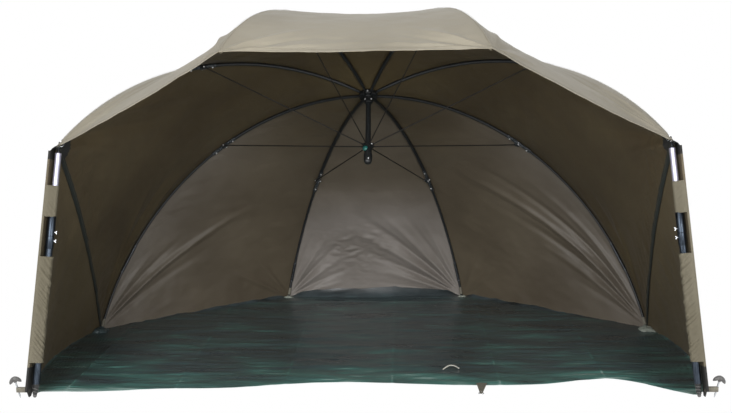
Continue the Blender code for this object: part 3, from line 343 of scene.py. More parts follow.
def hard(name, colour, worn, rough, metallic=0.0, scuff=0.008, grain=0.00002, stretch=(1, 1, 1), coat=0.0):
    """A hard finish. scuff is the size of its marks, and stretch draws them out along a tube."""
    made, tree, shader = surface(name, Roughness=rough, Metallic=metallic, Coat_Weight=coat,
                                 Coat_Roughness=0.2)
    place = add(tree, "ShaderNodeTexCoord").outputs["Object"]
    scaled = add(tree, "ShaderNodeMapping", {"Vector": place, "Scale": stretch}).outputs[0]
    scuffs = add(tree, "ShaderNodeTexNoise", {"Vector": scaled, "Scale": 1 / scuff, "Detail": 5.0,
                                             "Roughness": 0.6})
    tones = ramp(tree, scuffs.outputs["Fac"], [(0.45, colour), (0.80, worn)])
    tree.links.new(tones, shader.inputs["Base Color"])
    shine = add(tree, "ShaderNodeMapRange", {"Value": scuffs.outputs["Fac"], "To Min": rough * 0.75,
                                            "To Max": min(1.0, rough * 1.35)})
    tree.links.new(shine.outputs[0], shader.inputs["Roughness"])
    bump(tree, shader, scuffs.outputs["Fac"], grain, 0.5)
    return made


ENAMEL = hard("black_enamelled_steel", "191C1E", "2B2F32", 0.46, coat=0.06)
PLATED_BLACK = hard("black_plated_steel", "26292C", "5A5E63", 0.34, metallic=0.6)
NYLON = hard("moulded_nylon_black", "17191A", "2B2E2F", 0.42, grain=0.00005)
# The rivets' pale, mostly diffuse nickel is partly painted highlight, so that they show as bright spots in
# the dim inside.
RIVET_NICKEL_PAINTED_HIGHLIGHT = hard("nickel_plated_rivet_painted_highlight", "D6D8DA", "F0F1F2", 0.28, metallic=0.35)
BRIGHT_STEEL = hard("bright_plated_steel", "C9CCD0", "E3E5E8", 0.18, metallic=1.0)
SILVER_TUBE = hard("satin_drawn_aluminium", "B2B1C4", "D6D5E2", 0.36, metallic=0.60, stretch=DRAWN)
GUNMETAL = hard("gunmetal_anodised_aluminium", "343B44", "525B66", 0.28, metallic=0.9, stretch=DRAWN)
TEAL_PLASTIC = hard("moulded_acetal_teal", "1F5F5A", "357F78", 0.34, coat=0.2)
GREY_PLASTIC = hard("moulded_polypropylene_grey", "5B5A59", "7F7E7B", 0.45, grain=0.00008)
RUBBER = hard("auger_point_black", "1B1C1C", "3A3A39", 0.55, grain=0.0001)
SPRING_WIRE = hard("black_oxide_spring_wire", "120F0C", "1C1814", 0.60)
ZINC_STEEL = hard("dull_zinc_plated_steel", "33383C", "9EA4A8", 0.36, metallic=0.7, scuff=0.005)
PALE_TAPE = hard("pale_binding_tape", "8F968C", "B2B7AE", 0.75, grain=0.0002)
PALE_CORD = hard("braided_polyester_cord", "B9B7AC", "D3D1C8", 0.7, grain=0.0001)
SEWING_THREAD = hard("polyester_sewing_thread", "6F6A5A", "8A8472", 0.8)
print("materials:", len(bpy.data.materials))

# %% [markdown]
# ## Ways to make a mesh
#
# Three builders make nearly every piece. A cloth shell takes a grid of points and their
# normals and gives both faces of the cloth, its rims and a UV map in metres. A lathe
# turns a profile. A sweep carries a round section along a path with its own radius at
# each point. All of them give a closed mesh, with its place in the mesh itself.

# %% Builders
def dress(obj, body, nodes=()):
    """Puts a finished piece on its body and the nodes that it stands for."""
    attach(obj, body)
    if nodes:
        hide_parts(*nodes)
    return obj


def new_piece(name, mesh):
    made = bpy.data.objects.new(name, mesh)
    bpy.context.scene.collection.objects.link(made)
    return made


def smooth_by_angle(mesh, degrees=35):
    mesh.shade_smooth()
    mesh.set_sharp_from_angle(angle=radians(degrees))


def cloth_shell(name, points, normals, half, uv, materials, outer=None, inner=None, tone=None):
    """A closed cloth of both faces. outer and inner give each grid face its material."""
    rows, columns = points.shape[:2]
    along = points[1:, :-1] - points[:-1, :-1]
    across = points[:-1, 1:] - points[:-1, :-1]
    flip = (np.cross(across, along) * normals[:-1, :-1]).sum() < 0
    half = np.broadcast_to(np.asarray(half, float), (rows, columns))[..., None]
    verts = np.concatenate([(points + normals * half).reshape(-1, 3),
                            (points - normals * half).reshape(-1, 3)])
    index = np.arange(rows * columns).reshape(rows, columns)
    under = index + rows * columns
    faces, which, lift = [], [], []

    def quads(a, b, c, d, chosen, sign):
        ring = np.stack([a, b, c, d], -1).reshape(-1, 4)
        if flip != (sign < 0):
            ring = ring[:, [0, 3, 2, 1]]
        faces.append(ring)
        which.append(np.broadcast_to(chosen, a.shape).reshape(-1))
        lift.append(np.full(len(ring), sign))

    top = np.zeros((rows - 1, columns - 1), int) if outer is None else outer
    low = np.zeros((rows - 1, columns - 1), int) if inner is None else inner
    quads(index[:-1, :-1], index[:-1, 1:], index[1:, 1:], index[1:, :-1], top, 1)
    quads(under[:-1, :-1], under[:-1, 1:], under[1:, 1:], under[1:, :-1], low, -1)
    for a, b, c, d, chosen in (
            (index[-1, :-1], index[-1, 1:], under[-1, 1:], under[-1, :-1], top[-1]),
            (under[0, :-1], under[0, 1:], index[0, 1:], index[0, :-1], top[0]),
            (under[:-1, 0], index[:-1, 0], index[1:, 0], under[1:, 0], top[:, 0]),
            (index[:-1, -1], under[:-1, -1], under[1:, -1], index[1:, -1], top[:, -1])):
        quads(a, b, c, d, chosen, 1)
        lift[-1][:] = 0
    ring = np.concatenate(faces)
    mesh = bpy.data.meshes.new(name)
    mesh.from_pydata(verts.tolist(), [], ring.tolist())
    for material in materials:
        mesh.materials.append(material)
    mesh.polygons.foreach_set("material_index", np.concatenate(which).astype(np.int32))
    flat = np.concatenate([uv.reshape(-1, 2)] * 2).astype(np.float32)
    layer = mesh.uv_layers.new(name="cloth")
    layer.data.foreach_set("uv", flat[ring.reshape(-1)].reshape(-1))
    if tone is not None:
        values = np.concatenate([np.broadcast_to(tone, (rows, columns)).reshape(-1)] * 2)
        mesh.attributes.new("tone", "FLOAT", "POINT").data.foreach_set("value", values.astype(np.float32))
    mesh.update()
    mesh.shade_smooth()
    both = np.concatenate([normals.reshape(-1, 3), -normals.reshape(-1, 3)])
    rims = np.array([p.normal for p in mesh.polygons])
    loops = np.where((np.concatenate(lift) != 0)[:, None, None], both[ring], rims[:, None, :])
    mesh.normals_split_custom_set(loops.reshape(-1, 3).tolist())
    return new_piece(name, mesh)


def grid_normals(points, outward=None, ring=False):
    """Unit normals of a grid of points, by its neighbours' differences, turned to face outward."""
    if ring:
        across = np.roll(points, -1, 1) - np.roll(points, 1, 1)
    else:
        across = np.gradient(points, axis=1)
    found = np.cross(across, np.gradient(points, axis=0))
    found /= np.maximum(np.linalg.norm(found, axis=-1, keepdims=True), 1e-12)
    return -found if outward is not None and (found * outward).sum() < 0 else found


def step_lengths(points):
    """The lengths of a grid's steps, across it and down it."""
    return [np.linalg.norm(np.diff(points, axis=axis), axis=-1) for axis in (1, 0)]


def run_of(step, axis=1):
    """How far each point lies from the first one of its row, or of its column."""
    return np.concatenate([np.zeros_like(step.take([0], axis)), step.cumsum(axis)], axis)


UP = np.array((0, 0, 1))


def cloth_area(across, down):
    return float((across[:-1] * down[:, :-1]).sum())


def finished(name, grid, materials, matrix=Matrix()):
    """A bmesh as a piece in its place, smooth between its sharp edges."""
    mesh = bpy.data.meshes.new(name)
    grid.to_mesh(mesh)
    grid.free()
    mesh.transform(matrix)
    for material in materials:
        mesh.materials.append(material)
    smooth_by_angle(mesh)
    return new_piece(name, mesh)


def lathe(name, profile, material, matrix=Matrix(), steps=32):
    """A profile of (radius, height) points turned about Z and closed at its ends."""
    grid = bmesh.new()
    rows = []
    for radius, height in profile:
        if radius < 1e-7:
            rows.append([grid.verts.new((0, 0, height))])
        else:
            turns = [2 * pi * i / steps for i in range(steps)]
            rows.append([grid.verts.new((radius * cos(a), radius * sin(a), height)) for a in turns])
    closed = profile[0][0] > 1e-7
    for upper, lower in zip(rows, rows[1:] + (rows[:1] if closed else [])):
        for i in range(steps):
            ring = [row[k % len(row)] for row, k in ((upper, i), (upper, i + 1), (lower, i + 1), (lower, i))]
            unique = list(dict.fromkeys(ring))
            if len(unique) > 2:
                grid.faces.new(unique)
    bmesh.ops.recalc_face_normals(grid, faces=grid.faces)
    return finished(name, grid, [material], matrix)


def sweep(name, path, radii, material, sides=20, up=Vector((0, 0, 1)), flat=1.0):
    """A round section carried along a path. flat squeezes it along the up direction."""
    path = [Vector(p) for p in path]
    radii = radii if isinstance(radii, (list, tuple)) else [radii] * len(path)
    grid = bmesh.new()
    rows = []
    for i, point in enumerate(path):
        ahead = path[min(i + 1, len(path) - 1)] - path[max(i - 1, 0)]
        ahead.normalize()
        across = ahead.cross(up).normalized()
        high = across.cross(ahead)
        rows.append([grid.verts.new(point + (across * cos(2 * pi * k / sides)
                                             + high * flat * sin(2 * pi * k / sides)) * radii[i])
                     for k in range(sides)])
    for upper, lower in zip(rows, rows[1:]):
        for k in range(sides):
            grid.faces.new((upper[k], upper[(k + 1) % sides], lower[(k + 1) % sides], lower[k]))
    for row in (rows[0], rows[-1]):
        grid.faces.new(row)
    bmesh.ops.recalc_face_normals(grid, faces=grid.faces)
    return finished(name, grid, [material])


def joined(name, pieces):
    """Several pieces as one, each keeping its own material."""
    grid = bmesh.new()
    materials = []
    for piece in pieces:
        before = len(grid.faces)
        grid.from_mesh(piece.data)
        grid.faces.ensure_lookup_table()
        for face in grid.faces[before:]:
            face.material_index += len(materials)
        materials += list(piece.data.materials)
        old = piece.data
        bpy.data.objects.remove(piece, do_unlink=True)
        bpy.data.meshes.remove(old)
    return finished(name, grid, materials)


# %% [markdown]
# ## Camera
#
# The camera stands where the photographer stood: about 5 m in front of the hub, at chest
# height, looking a little down. Its focal length is worked out in pixels, so that the
# picture's width stands in for the sensor's.

# %% Camera
FOCAL_PIXELS, FRAME_PIXELS, SENSOR = 1060, 732, 36.0
CAMERA_BACK = 5.033
CAMERA_PLACE = Vector((0.16, HUB.y - CAMERA_BACK, 1.304))
CAMERA_YAW, CAMERA_PITCH, CAMERA_ROLL = radians(-2.023), radians(-7.823), radians(-0.668)

camera_data = bpy.data.cameras.new("camera")
camera_data.sensor_width = SENSOR
camera_data.lens = SENSOR * FOCAL_PIXELS / FRAME_PIXELS
camera_data.clip_start = 0.05
camera_data.clip_end = 60.0
camera = bpy.data.objects.new("camera", camera_data)
bpy.context.scene.collection.objects.link(camera)
camera.matrix_world = (Matrix.Translation(CAMERA_PLACE) @ Matrix.Rotation(-CAMERA_YAW, 4, "Z")
                       @ Matrix.Rotation(pi / 2 + CAMERA_PITCH, 4, "X")
                        @ Matrix.Rotation(CAMERA_ROLL, 4, "Z"))
bpy.context.scene.camera = camera
print("lens:", round(camera_data.lens, 2), "mm")

# %% [markdown]
# ## Lights and floor
#
# The lamps are large and soft, so that cloth shows its folds without hard shadows. The
# floor and the world are white to the camera and to reflections, but no stronger than a
# plain studio as light on the object.

# %% Lights, world and floor
LAMPS = {
    "key": ((-1.9, -4.8, 2.0), (0.2, 0.2, 0.65), 2.8, 158),
    "fill": ((2.4, -4.6, 1.5), (-0.2, 0.2, 0.6), 2.4, 92),
    "top": ((-0.6, -0.4, 5.0), (0, 0, 0.5), 3.0, 18),
    "back": ((0.6, 4.6, 3.4), (0, 0, 0.6), 2.6, 24),
}
WORLD_LEVEL = 0.30
FLOOR_SIZE, FLOOR_DROP = 24, 0.0005


def lamp(name, place, aim, size, watts):
    data = bpy.data.lights.new(name, "AREA")
    data.shape = "DISK"
    data.size = size
    data.energy = watts
    made = bpy.data.objects.new(name, data)
    bpy.context.scene.collection.objects.link(made)
    made.location = place
    made.rotation_euler = (Vector(aim) - Vector(place)).to_track_quat("-Z", "Y").to_euler()


for lamp_name, facts in LAMPS.items():
    lamp(lamp_name, *facts)


def seen_white(tree, shader, level):
    """White to the camera, to glossy and to clear rays, and the given shader to the rest."""
    path = add(tree, "ShaderNodeLightPath")
    seen = path.outputs["Is Camera Ray"]
    for ray in ("Is Glossy Ray", "Is Transmission Ray"):
        seen = add(tree, "ShaderNodeMath", {0: seen, 1: path.outputs[ray]}, operation="MAXIMUM").outputs[0]
    return add(tree, "ShaderNodeMixShader", {0: seen, 1: shader, 2: level}).outputs[0]


world = bpy.data.worlds.new("studio")
bpy.context.scene.world = world
world.use_nodes = True
world_tree = world.node_tree
world_tree.nodes.clear()
soft = add(world_tree, "ShaderNodeBackground", {"Color": (1, 1, 1, 1), "Strength": WORLD_LEVEL}).outputs[0]
white = add(world_tree, "ShaderNodeBackground", {"Color": (1, 1, 1, 1), "Strength": 1.0}).outputs[0]
add(world_tree, "ShaderNodeOutputWorld", {"Surface": seen_white(world_tree, soft, white)})

bpy.ops.mesh.primitive_plane_add(size=FLOOR_SIZE, location=(0, 0, -FLOOR_DROP))
floor = bpy.context.object
floor.name = "floor"
floor_finish, floor_tree, floor_shader = surface("pale_floor", Roughness=0.9, Specular_IOR_Level=0.1,
                                                 Base_Color=linear("F6F6F4"))
glow = add(floor_tree, "ShaderNodeEmission", {"Color": (1, 1, 1, 1), "Strength": 1.0}).outputs[0]
seen = seen_white(floor_tree, floor_shader.outputs[0], glow)
floor_tree.links.new(seen, floor_tree.nodes["Material Output"].inputs["Surface"])
floor.data.materials.append(floor_finish)
bpy.context.scene.view_settings.view_transform = "Standard"
print("lamps:", len(LAMPS), "world level:", WORLD_LEVEL)

# %% [markdown]
# ## The canopy
#
# The canopy is one skin of cloth over all eight ribs. Between two ribs it is pulled into
# a shallow valley. It hugs each rib, lifts a little over the steel brackets, and where a
# rib stands on the ground creases fan out from its foot. The whole skin is worked out as
# one grid of points, so that folds run on across every panel.

# %% The canopy's grid
RIB_ORDER = ([("left", name) for name in ("front", "side", "flank", "rear")]
             + [("right", name) for name in ("rear", "flank", "side", "front")])
HUG_GAP = 0.0088
BRACKET_LIFT = 0.0034
BRACKET_START, BRACKET_END, BRACKET_EASE = 0.735, 0.875, 0.06
CANOPY_TOP_LENGTH = -0.0216
CLOTH_HALF = 0.0004
HEM_HALF = 0.0009
SEAM_HALF, SEAM_HALF_WIDTH = 0.0008, 0.0075
HEM_WIDTH = 0.022
GORE_ROWS, GORE_COLUMNS = 190, 96
RIB_CROWDING, EDGE_CROWDING = 0.35, 1.25
GORE_SAG = 0.016
PANEL_SAGS = {("front", "side"): 0.020, ("front", "front"): 0.007}
HEM_BOW = 0.020
REAR_HEM_BOW = 0.030
HEM_LIFT = 0.0012
BEYOND_RIB = {"front": 0.020, "side": 0.062}
CANOPY_LENGTHS = {name: FREE_LENGTHS[name] + more for name, more in BEYOND_RIB.items()}
for rib_name in ("flank", "rear"):
    CANOPY_LENGTHS[rib_name] = length_to_ground(rib_name, HEM_LIFT, 0, HUG_GAP)


def stand_off(length):
    """How far the cloth lies from the middle of a rib: further over its bracket."""
    rise = np.clip((length - BRACKET_START) / BRACKET_EASE + 1, 0, 1)
    fall = np.clip((BRACKET_END - length) / BRACKET_EASE + 1, 0, 1)
    return HUG_GAP + BRACKET_LIFT * (rise * fall) ** 2 * (3 - 2 * rise * fall)


def drawn_point(side, name, share):
    """The cloth over one rib, at that share of its length."""
    length = CANOPY_TOP_LENGTH + (CANOPY_LENGTHS[name] - CANOPY_TOP_LENGTH) * share
    return rib_points(SIDES[side], name, length, stand_off(length))


def is_grounded(first, second):
    return first[1] in ("flank", "rear") and second[1] in ("flank", "rear")


def gore_grid(first, second, share, across):
    """World points between two ribs; share runs down the cloth and across from rib to rib."""
    hump = 4 * across * (1 - across)
    grounded = is_grounded(first, second)
    bow = HEM_BOW if not grounded else REAR_HEM_BOW if first[1] == second[1] else 0
    drawn = share * (1 - bow / FREE_LENGTHS["side"] * hump)
    start, end = drawn_point(*first, drawn), drawn_point(*second, drawn)
    inward = np.array(DOME_CENTRE) - (start + end) / 2
    inward /= np.linalg.norm(inward, axis=-1, keepdims=True)
    bell = np.sin(pi * np.clip(share, 0, 1)) ** 2 if grounded else np.sin(pi / 2 * share)
    extra = PANEL_SAGS.get(tuple(sorted((first[1], second[1]))), 0)
    sag = hump * (GORE_SAG * bell + extra * np.sin(pi * share ** 2))
    points = start + (end - start) * across[..., None] + inward * sag[..., None]
    return points, np.linalg.norm(end - start, axis=-1)


def clouds(u, v, size, seed, octaves=3):
    """Smooth noise of about plus or minus one, with features of that size in metres."""
    flat = [noise.fractal(Vector((a / size, b / size, seed)), 0.9, 2.1, octaves)
            for a, b in zip(u.ravel(), v.ravel())]
    return np.array(flat).reshape(u.shape)


# %% [markdown]
# A crease is a long ray from a corner of a panel. It starts sharp at the foot, where the
# cloth is pinched, and widens and fades as it runs up the panel. Each one is given by its
# corner, its angle above the hem, its length, its width and its height. Ridges and
# valleys take turns, as they do in real cloth that is pulled from one point.

# %% Creases and folds
FAN_WIDTH_START = 0.34
CREASE_DEPTH = 1.7
REAR_CREASES = [
    ("first", 80, 0.40, 0.020, 0.0050), ("first", 66, 0.42, 0.022, -0.0060),
    ("first", 52, 0.40, 0.022, 0.0075), ("first", 38, 0.36, 0.022, -0.0060),
    ("first", 24, 0.40, 0.020, 0.0045), ("first", 10, 0.34, 0.016, -0.0030),
    ("second", 84, 0.42, 0.018, 0.0045), ("second", 75, 0.48, 0.018, -0.0060),
    ("second", 66, 0.52, 0.020, 0.0065), ("second", 55, 0.62, 0.026, -0.0080),
    ("second", 45, 0.70, 0.032, 0.0120), ("second", 35, 0.68, 0.030, -0.0095),
    ("second", 25, 0.62, 0.026, 0.0085), ("second", 15, 0.50, 0.022, -0.0060),
    ("second", 6, 0.46, 0.018, 0.0045),
]
FLANK_CREASES = {
    "left": [
        ("flank", 82, 0.36, 0.014, 0.0032), ("flank", 73, 0.42, 0.016, -0.0042),
        ("flank", 64, 0.56, 0.020, 0.0056), ("flank", 54, 0.86, 0.026, -0.0090),
        ("flank", 43, 0.62, 0.032, 0.0044), ("rear", 50, 0.44, 0.022, -0.0055),
        ("rear", 31, 0.52, 0.022, -0.0050), ("rear", 40, 0.34, 0.020, 0.0030),
    ],
    "right": [
        ("flank", 84, 0.60, 0.018, 0.0036), ("flank", 75, 0.74, 0.022, -0.0050),
        ("flank", 66, 0.86, 0.026, 0.0072), ("flank", 57, 0.92, 0.028, -0.0082),
        ("flank", 48, 0.70, 0.026, 0.0064), ("flank", 39, 0.56, 0.022, -0.0044),
        ("flank", 28, 0.42, 0.020, 0.0030), ("rear", 56, 0.40, 0.022, -0.0040),
        ("rear", 34, 0.36, 0.020, -0.0034),
    ],
}
SIDE_CREASES = [
    ("side", 60, 0.70, 0.045, 0.0060), ("side", 42, 0.60, 0.040, -0.0060),
    ("side", 74, 0.85, 0.045, -0.0060), ("flank", 72, 0.70, 0.036, 0.0080),
    ("flank", 58, 0.60, 0.034, -0.0070), ("flank", 84, 0.80, 0.034, -0.0060),
]
FRONT_CREASES = [
    ("first", 40, 0.34, 0.024, 0.0050), ("first", 24, 0.34, 0.022, -0.0045),
    ("first", 10, 0.46, 0.022, 0.0036), ("second", 38, 0.36, 0.024, 0.0052),
    ("second", 22, 0.36, 0.022, -0.0045), ("second", 9, 0.48, 0.022, 0.0038),
]
CORNER_CREASES = [
    ("front", 64, 0.50, 0.030, 0.0050), ("front", 44, 0.42, 0.028, -0.0050),
    ("front", 24, 0.36, 0.024, 0.0040), ("side", 66, 0.60, 0.032, 0.0055),
    ("side", 46, 0.50, 0.030, -0.0055), ("side", 26, 0.40, 0.026, 0.0040),
]


def fan(du, dv, angle, length, width, height):
    """One crease from the corner at (0, 0), running up at that angle."""
    turn = radians(angle)
    along = (du * cos(turn) + dv * sin(turn)) / length
    off = dv * cos(turn) - du * sin(turn)
    spread = width * (FAN_WIDTH_START + (1 - FAN_WIDTH_START) * np.clip(along, 0, 1))
    swell = np.sin(pi * np.clip(along, 0, 1) ** 0.62)
    return CREASE_DEPTH * height * swell * np.exp(-(off / spread) ** 2)


def gore_creases(first, second):
    """The creases of one panel, as (from the second rib, angle, length, width, height)."""
    tables = {"rear": REAR_CREASES, "rear flank": FLANK_CREASES[first[0]], "flank side": SIDE_CREASES,
              "front side": CORNER_CREASES, "front": FRONT_CREASES}
    table = next(made for names, made in tables.items() if set(names.split()) == {first[1], second[1]})
    return [(corner == "second" or (corner == second[1] and corner != first[1]), *rest)
            for corner, *rest in table]


# %% [markdown]
# Between the creases the cloth is never quite flat. A slow, low noise stands for its
# slack. Packed cloth also keeps small crinkles, thickest across the middle of the back,
# and a sewn hem puckers, so each of these is one more noise in a band at its own height.

# %% Slack, crinkles and puckers
SLACK_GROUNDED, SLACK_FREE = 0.0040, 0.0032
CRINKLE_HEIGHT, CRINKLE_SPREAD = 0.24, 0.12
CRINKLE_SIDE, CRINKLE_HALF = -0.09, 0.17
PUCKER_HEIGHT, PUCKER_SPREAD = 0.09, 0.08
HEM_PUCKER_HEIGHT, HEM_PUCKER_SPREAD = 0.07, 0.05


def relief(first, second, share, across, width, length, seed):
    """How far the cloth stands out from its smooth form, in metres along its normal."""
    hump = 4 * across * (1 - across)
    up = (1 - share) * length
    total = np.zeros_like(share)
    for from_second, *crease in gore_creases(first, second):
        total += fan((1 - across if from_second else across) * width, up, *crease)
    u = (across - 0.5) * width
    slack = SLACK_GROUNDED if is_grounded(first, second) else SLACK_FREE
    total += slack * clouds(u + 0.4 * up, up, 0.24, seed)
    total += slack * 0.40 * clouds(u - 0.5 * up, up * 1.4, 0.10, seed + 20)
    if {first[1], second[1]} == {"side", "flank"}:
        band = np.exp(-((up - PUCKER_HEIGHT) / PUCKER_SPREAD) ** 2)
        total += 0.0050 * band * clouds((u + up) * 0.45, (u - up) * 1.3, 0.05, seed + 60, 2)
    if first[1] == second[1] == "rear":
        band = np.exp(-((up - CRINKLE_HEIGHT) / CRINKLE_SPREAD) ** 2)
        band = band * (0.12 + 0.88 * np.exp(-((u - CRINKLE_SIDE) / CRINKLE_HALF) ** 2))
        ridges = np.abs(clouds(u * 0.50, up * 1.5 + 0.25 * u ** 2, 0.045, seed + 40, 2))
        total += 0.0056 * band * (1 - 2.2 * ridges)
    if first[1] == second[1] == "front":
        band = np.exp(-((up - HEM_PUCKER_HEIGHT) / HEM_PUCKER_SPREAD) ** 2)
        total += 0.0040 * band * clouds(u * 0.5, up * 1.4, 0.06, seed + 50, 2)
    return total * np.clip(hump * 4, 0, 1) * np.clip(share * 6, 0, 1)


def panel_painted_daylight(first, second, share, across):
    """Painted daylight on the inner coating, 0 to 1: paler where light shines through low down at the back.
    """
    names = (first[1], second[1])
    if names == ("rear", "rear"):
        return 0.30 * np.clip(share * 4, 0, 1) + 0.60 * np.clip((share - 0.52) / 0.20, 0, 1) ** 1.5
    if "rear" in names:
        off = across if first[1] == "flank" else 1 - across
        return (0.18 + 0.34 * np.exp(-off / 0.30)) * np.clip((share - 0.05) * 2.5, 0, 1)
    if "flank" in names:
        return 0.05 * np.clip(share * 2, 0, 1)
    return 0.02 * share


def canopy_grid():
    """Points, share, UV and tone of the whole skin, as rings of columns."""
    steps = np.linspace(0, 1, GORE_ROWS + 1)
    shares = 1 - (1 - steps) ** EDGE_CROWDING
    place = np.arange(GORE_COLUMNS) / GORE_COLUMNS
    place = place - RIB_CROWDING / (2 * pi) * np.sin(2 * pi * place)
    share, across = np.meshgrid(shares, place, indexing="ij")
    grids, extra, widths, tones = [], [], [], []
    for k, first in enumerate(RIB_ORDER):
        second = RIB_ORDER[(k + 1) % len(RIB_ORDER)]
        points, width = gore_grid(first, second, share, across)
        grids.append(points)
        extra.append(relief(first, second, share, across, width, CANOPY_LENGTHS[first[1]], 3.0 + 7 * k))
        widths.append(width)
        tones.append(panel_painted_daylight(first, second, share, across))
    points, outward = np.concatenate(grids, 1), np.concatenate(extra, 1)
    points = points + grid_normals(points, points - np.array(DOME_CENTRE), ring=True) * outward[..., None]
    points[..., 2] = np.maximum(points[..., 2], HEM_LIFT)
    normals = grid_normals(points, points - np.array(DOME_CENTRE), ring=True)
    return points, normals, share, across, widths, np.concatenate(tones, 1)


CANOPY_POINTS, CANOPY_NORMALS, GORE_SHARE, GORE_ACROSS, GORE_WIDTHS, CANOPY_PAINTED_DAYLIGHT = canopy_grid()
print("canopy grid:", CANOPY_POINTS.shape[:2], "top edge at", CANOPY_POINTS[0].mean(0).round(3))

# %% [markdown]
# An umbrella folds rib by rib, and each rib carries the cloth on both sides of it, as far
# as the middle of each panel. So the skin is cut along the middles of its panels into
# eight pieces, and each one rides on its rib. Both pieces share one set of normals along
# the cut, so that no line shows while it is open.

# %% Cut the canopy into the cloth of each rib
HALF_GORE = GORE_COLUMNS // 2
SECTOR_UV_STEP = 3.0
BINDING_WIDTH = 0.029
PATCH_OUTSIDE, PATCH_INSIDE = 0.012, 0.095


def gathered(piece):
    """Gives the piece a mesh of its own."""
    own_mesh(piece)
    return piece


def two_halves(before, after):
    """The second half of one panel's columns and the first half of the next one's."""
    return np.concatenate([before[:, HALF_GORE:], after[:, :HALF_GORE + 1]], 1)


def sector_grids(k):
    """Side, rib, points, normals, tone and share of the cloth of one rib."""
    side, name = RIB_ORDER[k]
    columns = (np.arange(-HALF_GORE, HALF_GORE + 1) + k * GORE_COLUMNS) % CANOPY_POINTS.shape[1]
    share = two_halves(GORE_SHARE, GORE_SHARE)
    return side, name, *(grid[:, columns] for grid in (CANOPY_POINTS, CANOPY_NORMALS, CANOPY_PAINTED_DAYLIGHT)), share


def canopy_sector(k):
    """The cloth of one rib: half a panel on each side of it."""
    side, name, points, normals, tone, share = sector_grids(k)
    u = two_halves((GORE_ACROSS - 1) * GORE_WIDTHS[k - 1], GORE_ACROSS * GORE_WIDTHS[k])
    uv = np.stack([u + SECTOR_UV_STEP * k, share * CANOPY_LENGTHS[name]], -1)
    from_hem = (1 - share) * CANOPY_LENGTHS[name]
    thick = np.where(np.abs(u) < SEAM_HALF_WIDTH, SEAM_HALF, CLOTH_HALF)
    thick = np.where(from_hem < HEM_WIDTH, HEM_HALF, thick)
    near = from_hem[:-1, :-1] < BINDING_WIDTH
    outer = np.zeros(near.shape, int)
    following = RIB_ORDER[(k + 1) % len(RIB_ORDER)]
    for other, part in ((RIB_ORDER[k - 1], slice(0, HALF_GORE)), (following, slice(HALF_GORE, None))):
        if {name, other[1]} == {"side", "flank"}:
            outer[:, part] = np.where(near[:, part], 2, 0)
    inner = np.where(outer == 2, 2, 1)
    if name == "side":
        tip = np.hypot(u, from_hem)[:-1, :-1]
        outer = np.where(tip < PATCH_OUTSIDE, 3, outer)
        inner = np.where(tip < PATCH_INSIDE, 3, inner)
    piece = cloth_shell(f"canopy_cloth_{name}_{side}", points, normals, thick, uv,
                        [OUTER_CLOTH, INNER_CLOTH, BINDING, BLACK_WEBBING], outer, inner, tone)
    dress(piece, f"rib_{name}_{side}", ["canopy"] if k == 0 else [])
    gathered(piece)
    across, down = step_lengths(points)
    width, drop, area = float(across.sum(1).max()), float(down.sum(0).max()), cloth_area(across, down)
    return width, drop, area


for k in range(len(RIB_ORDER)):
    print("cloth of", RIB_ORDER[k], [round(v, 3) for v in canopy_sector(k)])

# %% [markdown]
# ## The storm sides
#
# A storm side closes the gap between the pole, the canopy's side hem and the ground. It
# passes outside the pole and ends in a narrow hem that faces the front. Everything at a
# pole is placed in the pole's own frame, so that frame comes first.

# %% Pole frames
POLE_SPREAD, POLE_ROW = 2.600, HUB.y - 1.034
POLE_UPPER_RADIUS, POLE_LOWER_RADIUS = 0.0125, 0.0145
POLE_JOINT_HEIGHT = 0.640
POLE_TOP_DROP = 0.048
POLE_PIN_AT = FREE_LENGTHS["side"] + 0.024
POLE_PIN_STAND_OFF = 0.015


def pole_matrix(side):
    """World matrix of a pole: Z runs up it, and X points to the inside of the shelter."""
    top = Vector(rib_points(side, "side", POLE_PIN_AT, POLE_PIN_STAND_OFF))
    foot = Vector((side * POLE_SPREAD / 2, POLE_ROW, 0))
    up = (top - foot).normalized()
    across = Vector((-side, 0, 0))
    inward = (across - up * across.dot(up)).normalized()
    turn = Matrix((inward, up.cross(inward), up)).transposed().to_4x4()
    return Matrix.Translation(foot) @ turn, (top - foot).length


print("pole length:", round(pole_matrix(1)[1], 3))

# %% [markdown]
# A panel is one grid. Its first columns are the hem strip and the flap that goes round the
# pole, and the rest run straight back to the canopy's hem, with a slow bulge as if air
# filled it. Its lowest row is drawn down to the ground, so that no light shows under it.
# The grid carries a number for each face, which picks cloth, black gusset or hem strip.

# %% Storm side panels
SIDE_CLEAR = 0.0215
FLAP_REACH, FLAP_SWELL = 0.032, 0.0015
BAND_WIDTH = 0.009
TOP_SHARE = 0.006
CORNER_DROP = 0.030
SEAM_LAP = 0.010
SEAM_OUT = 0.0022
SIDE_BULGE = 0.075
CORNER_CUT, TOP_CUT = 0.024, 0.012
CUT_SHARE = 0.05
DARK_TOP = 0.165
GUSSET_FROM, TOP_GUSSET = 0.875, 0.048
PANEL_ROWS, PANEL_COLUMNS = 90, 44
FLAP_STEPS, BAND_STEPS = 8, 3
EDGE_ROOM = 0.08
HEM_SINK = 0.08


def hem_point(side, share):
    """Just outside the canopy's side hem and lapped over it, from its corner to the flank foot."""
    down = np.array([1 - SEAM_LAP / FREE_LENGTHS["side"]])
    inner = gore_grid((side, "side"), (side, "flank"), down, np.array([share]))[0][0]
    out = inner - np.array(DOME_CENTRE)
    moved = inner + out / np.linalg.norm(out) * SEAM_OUT
    moved[2] = max(moved[2], HEM_LIFT)
    return moved


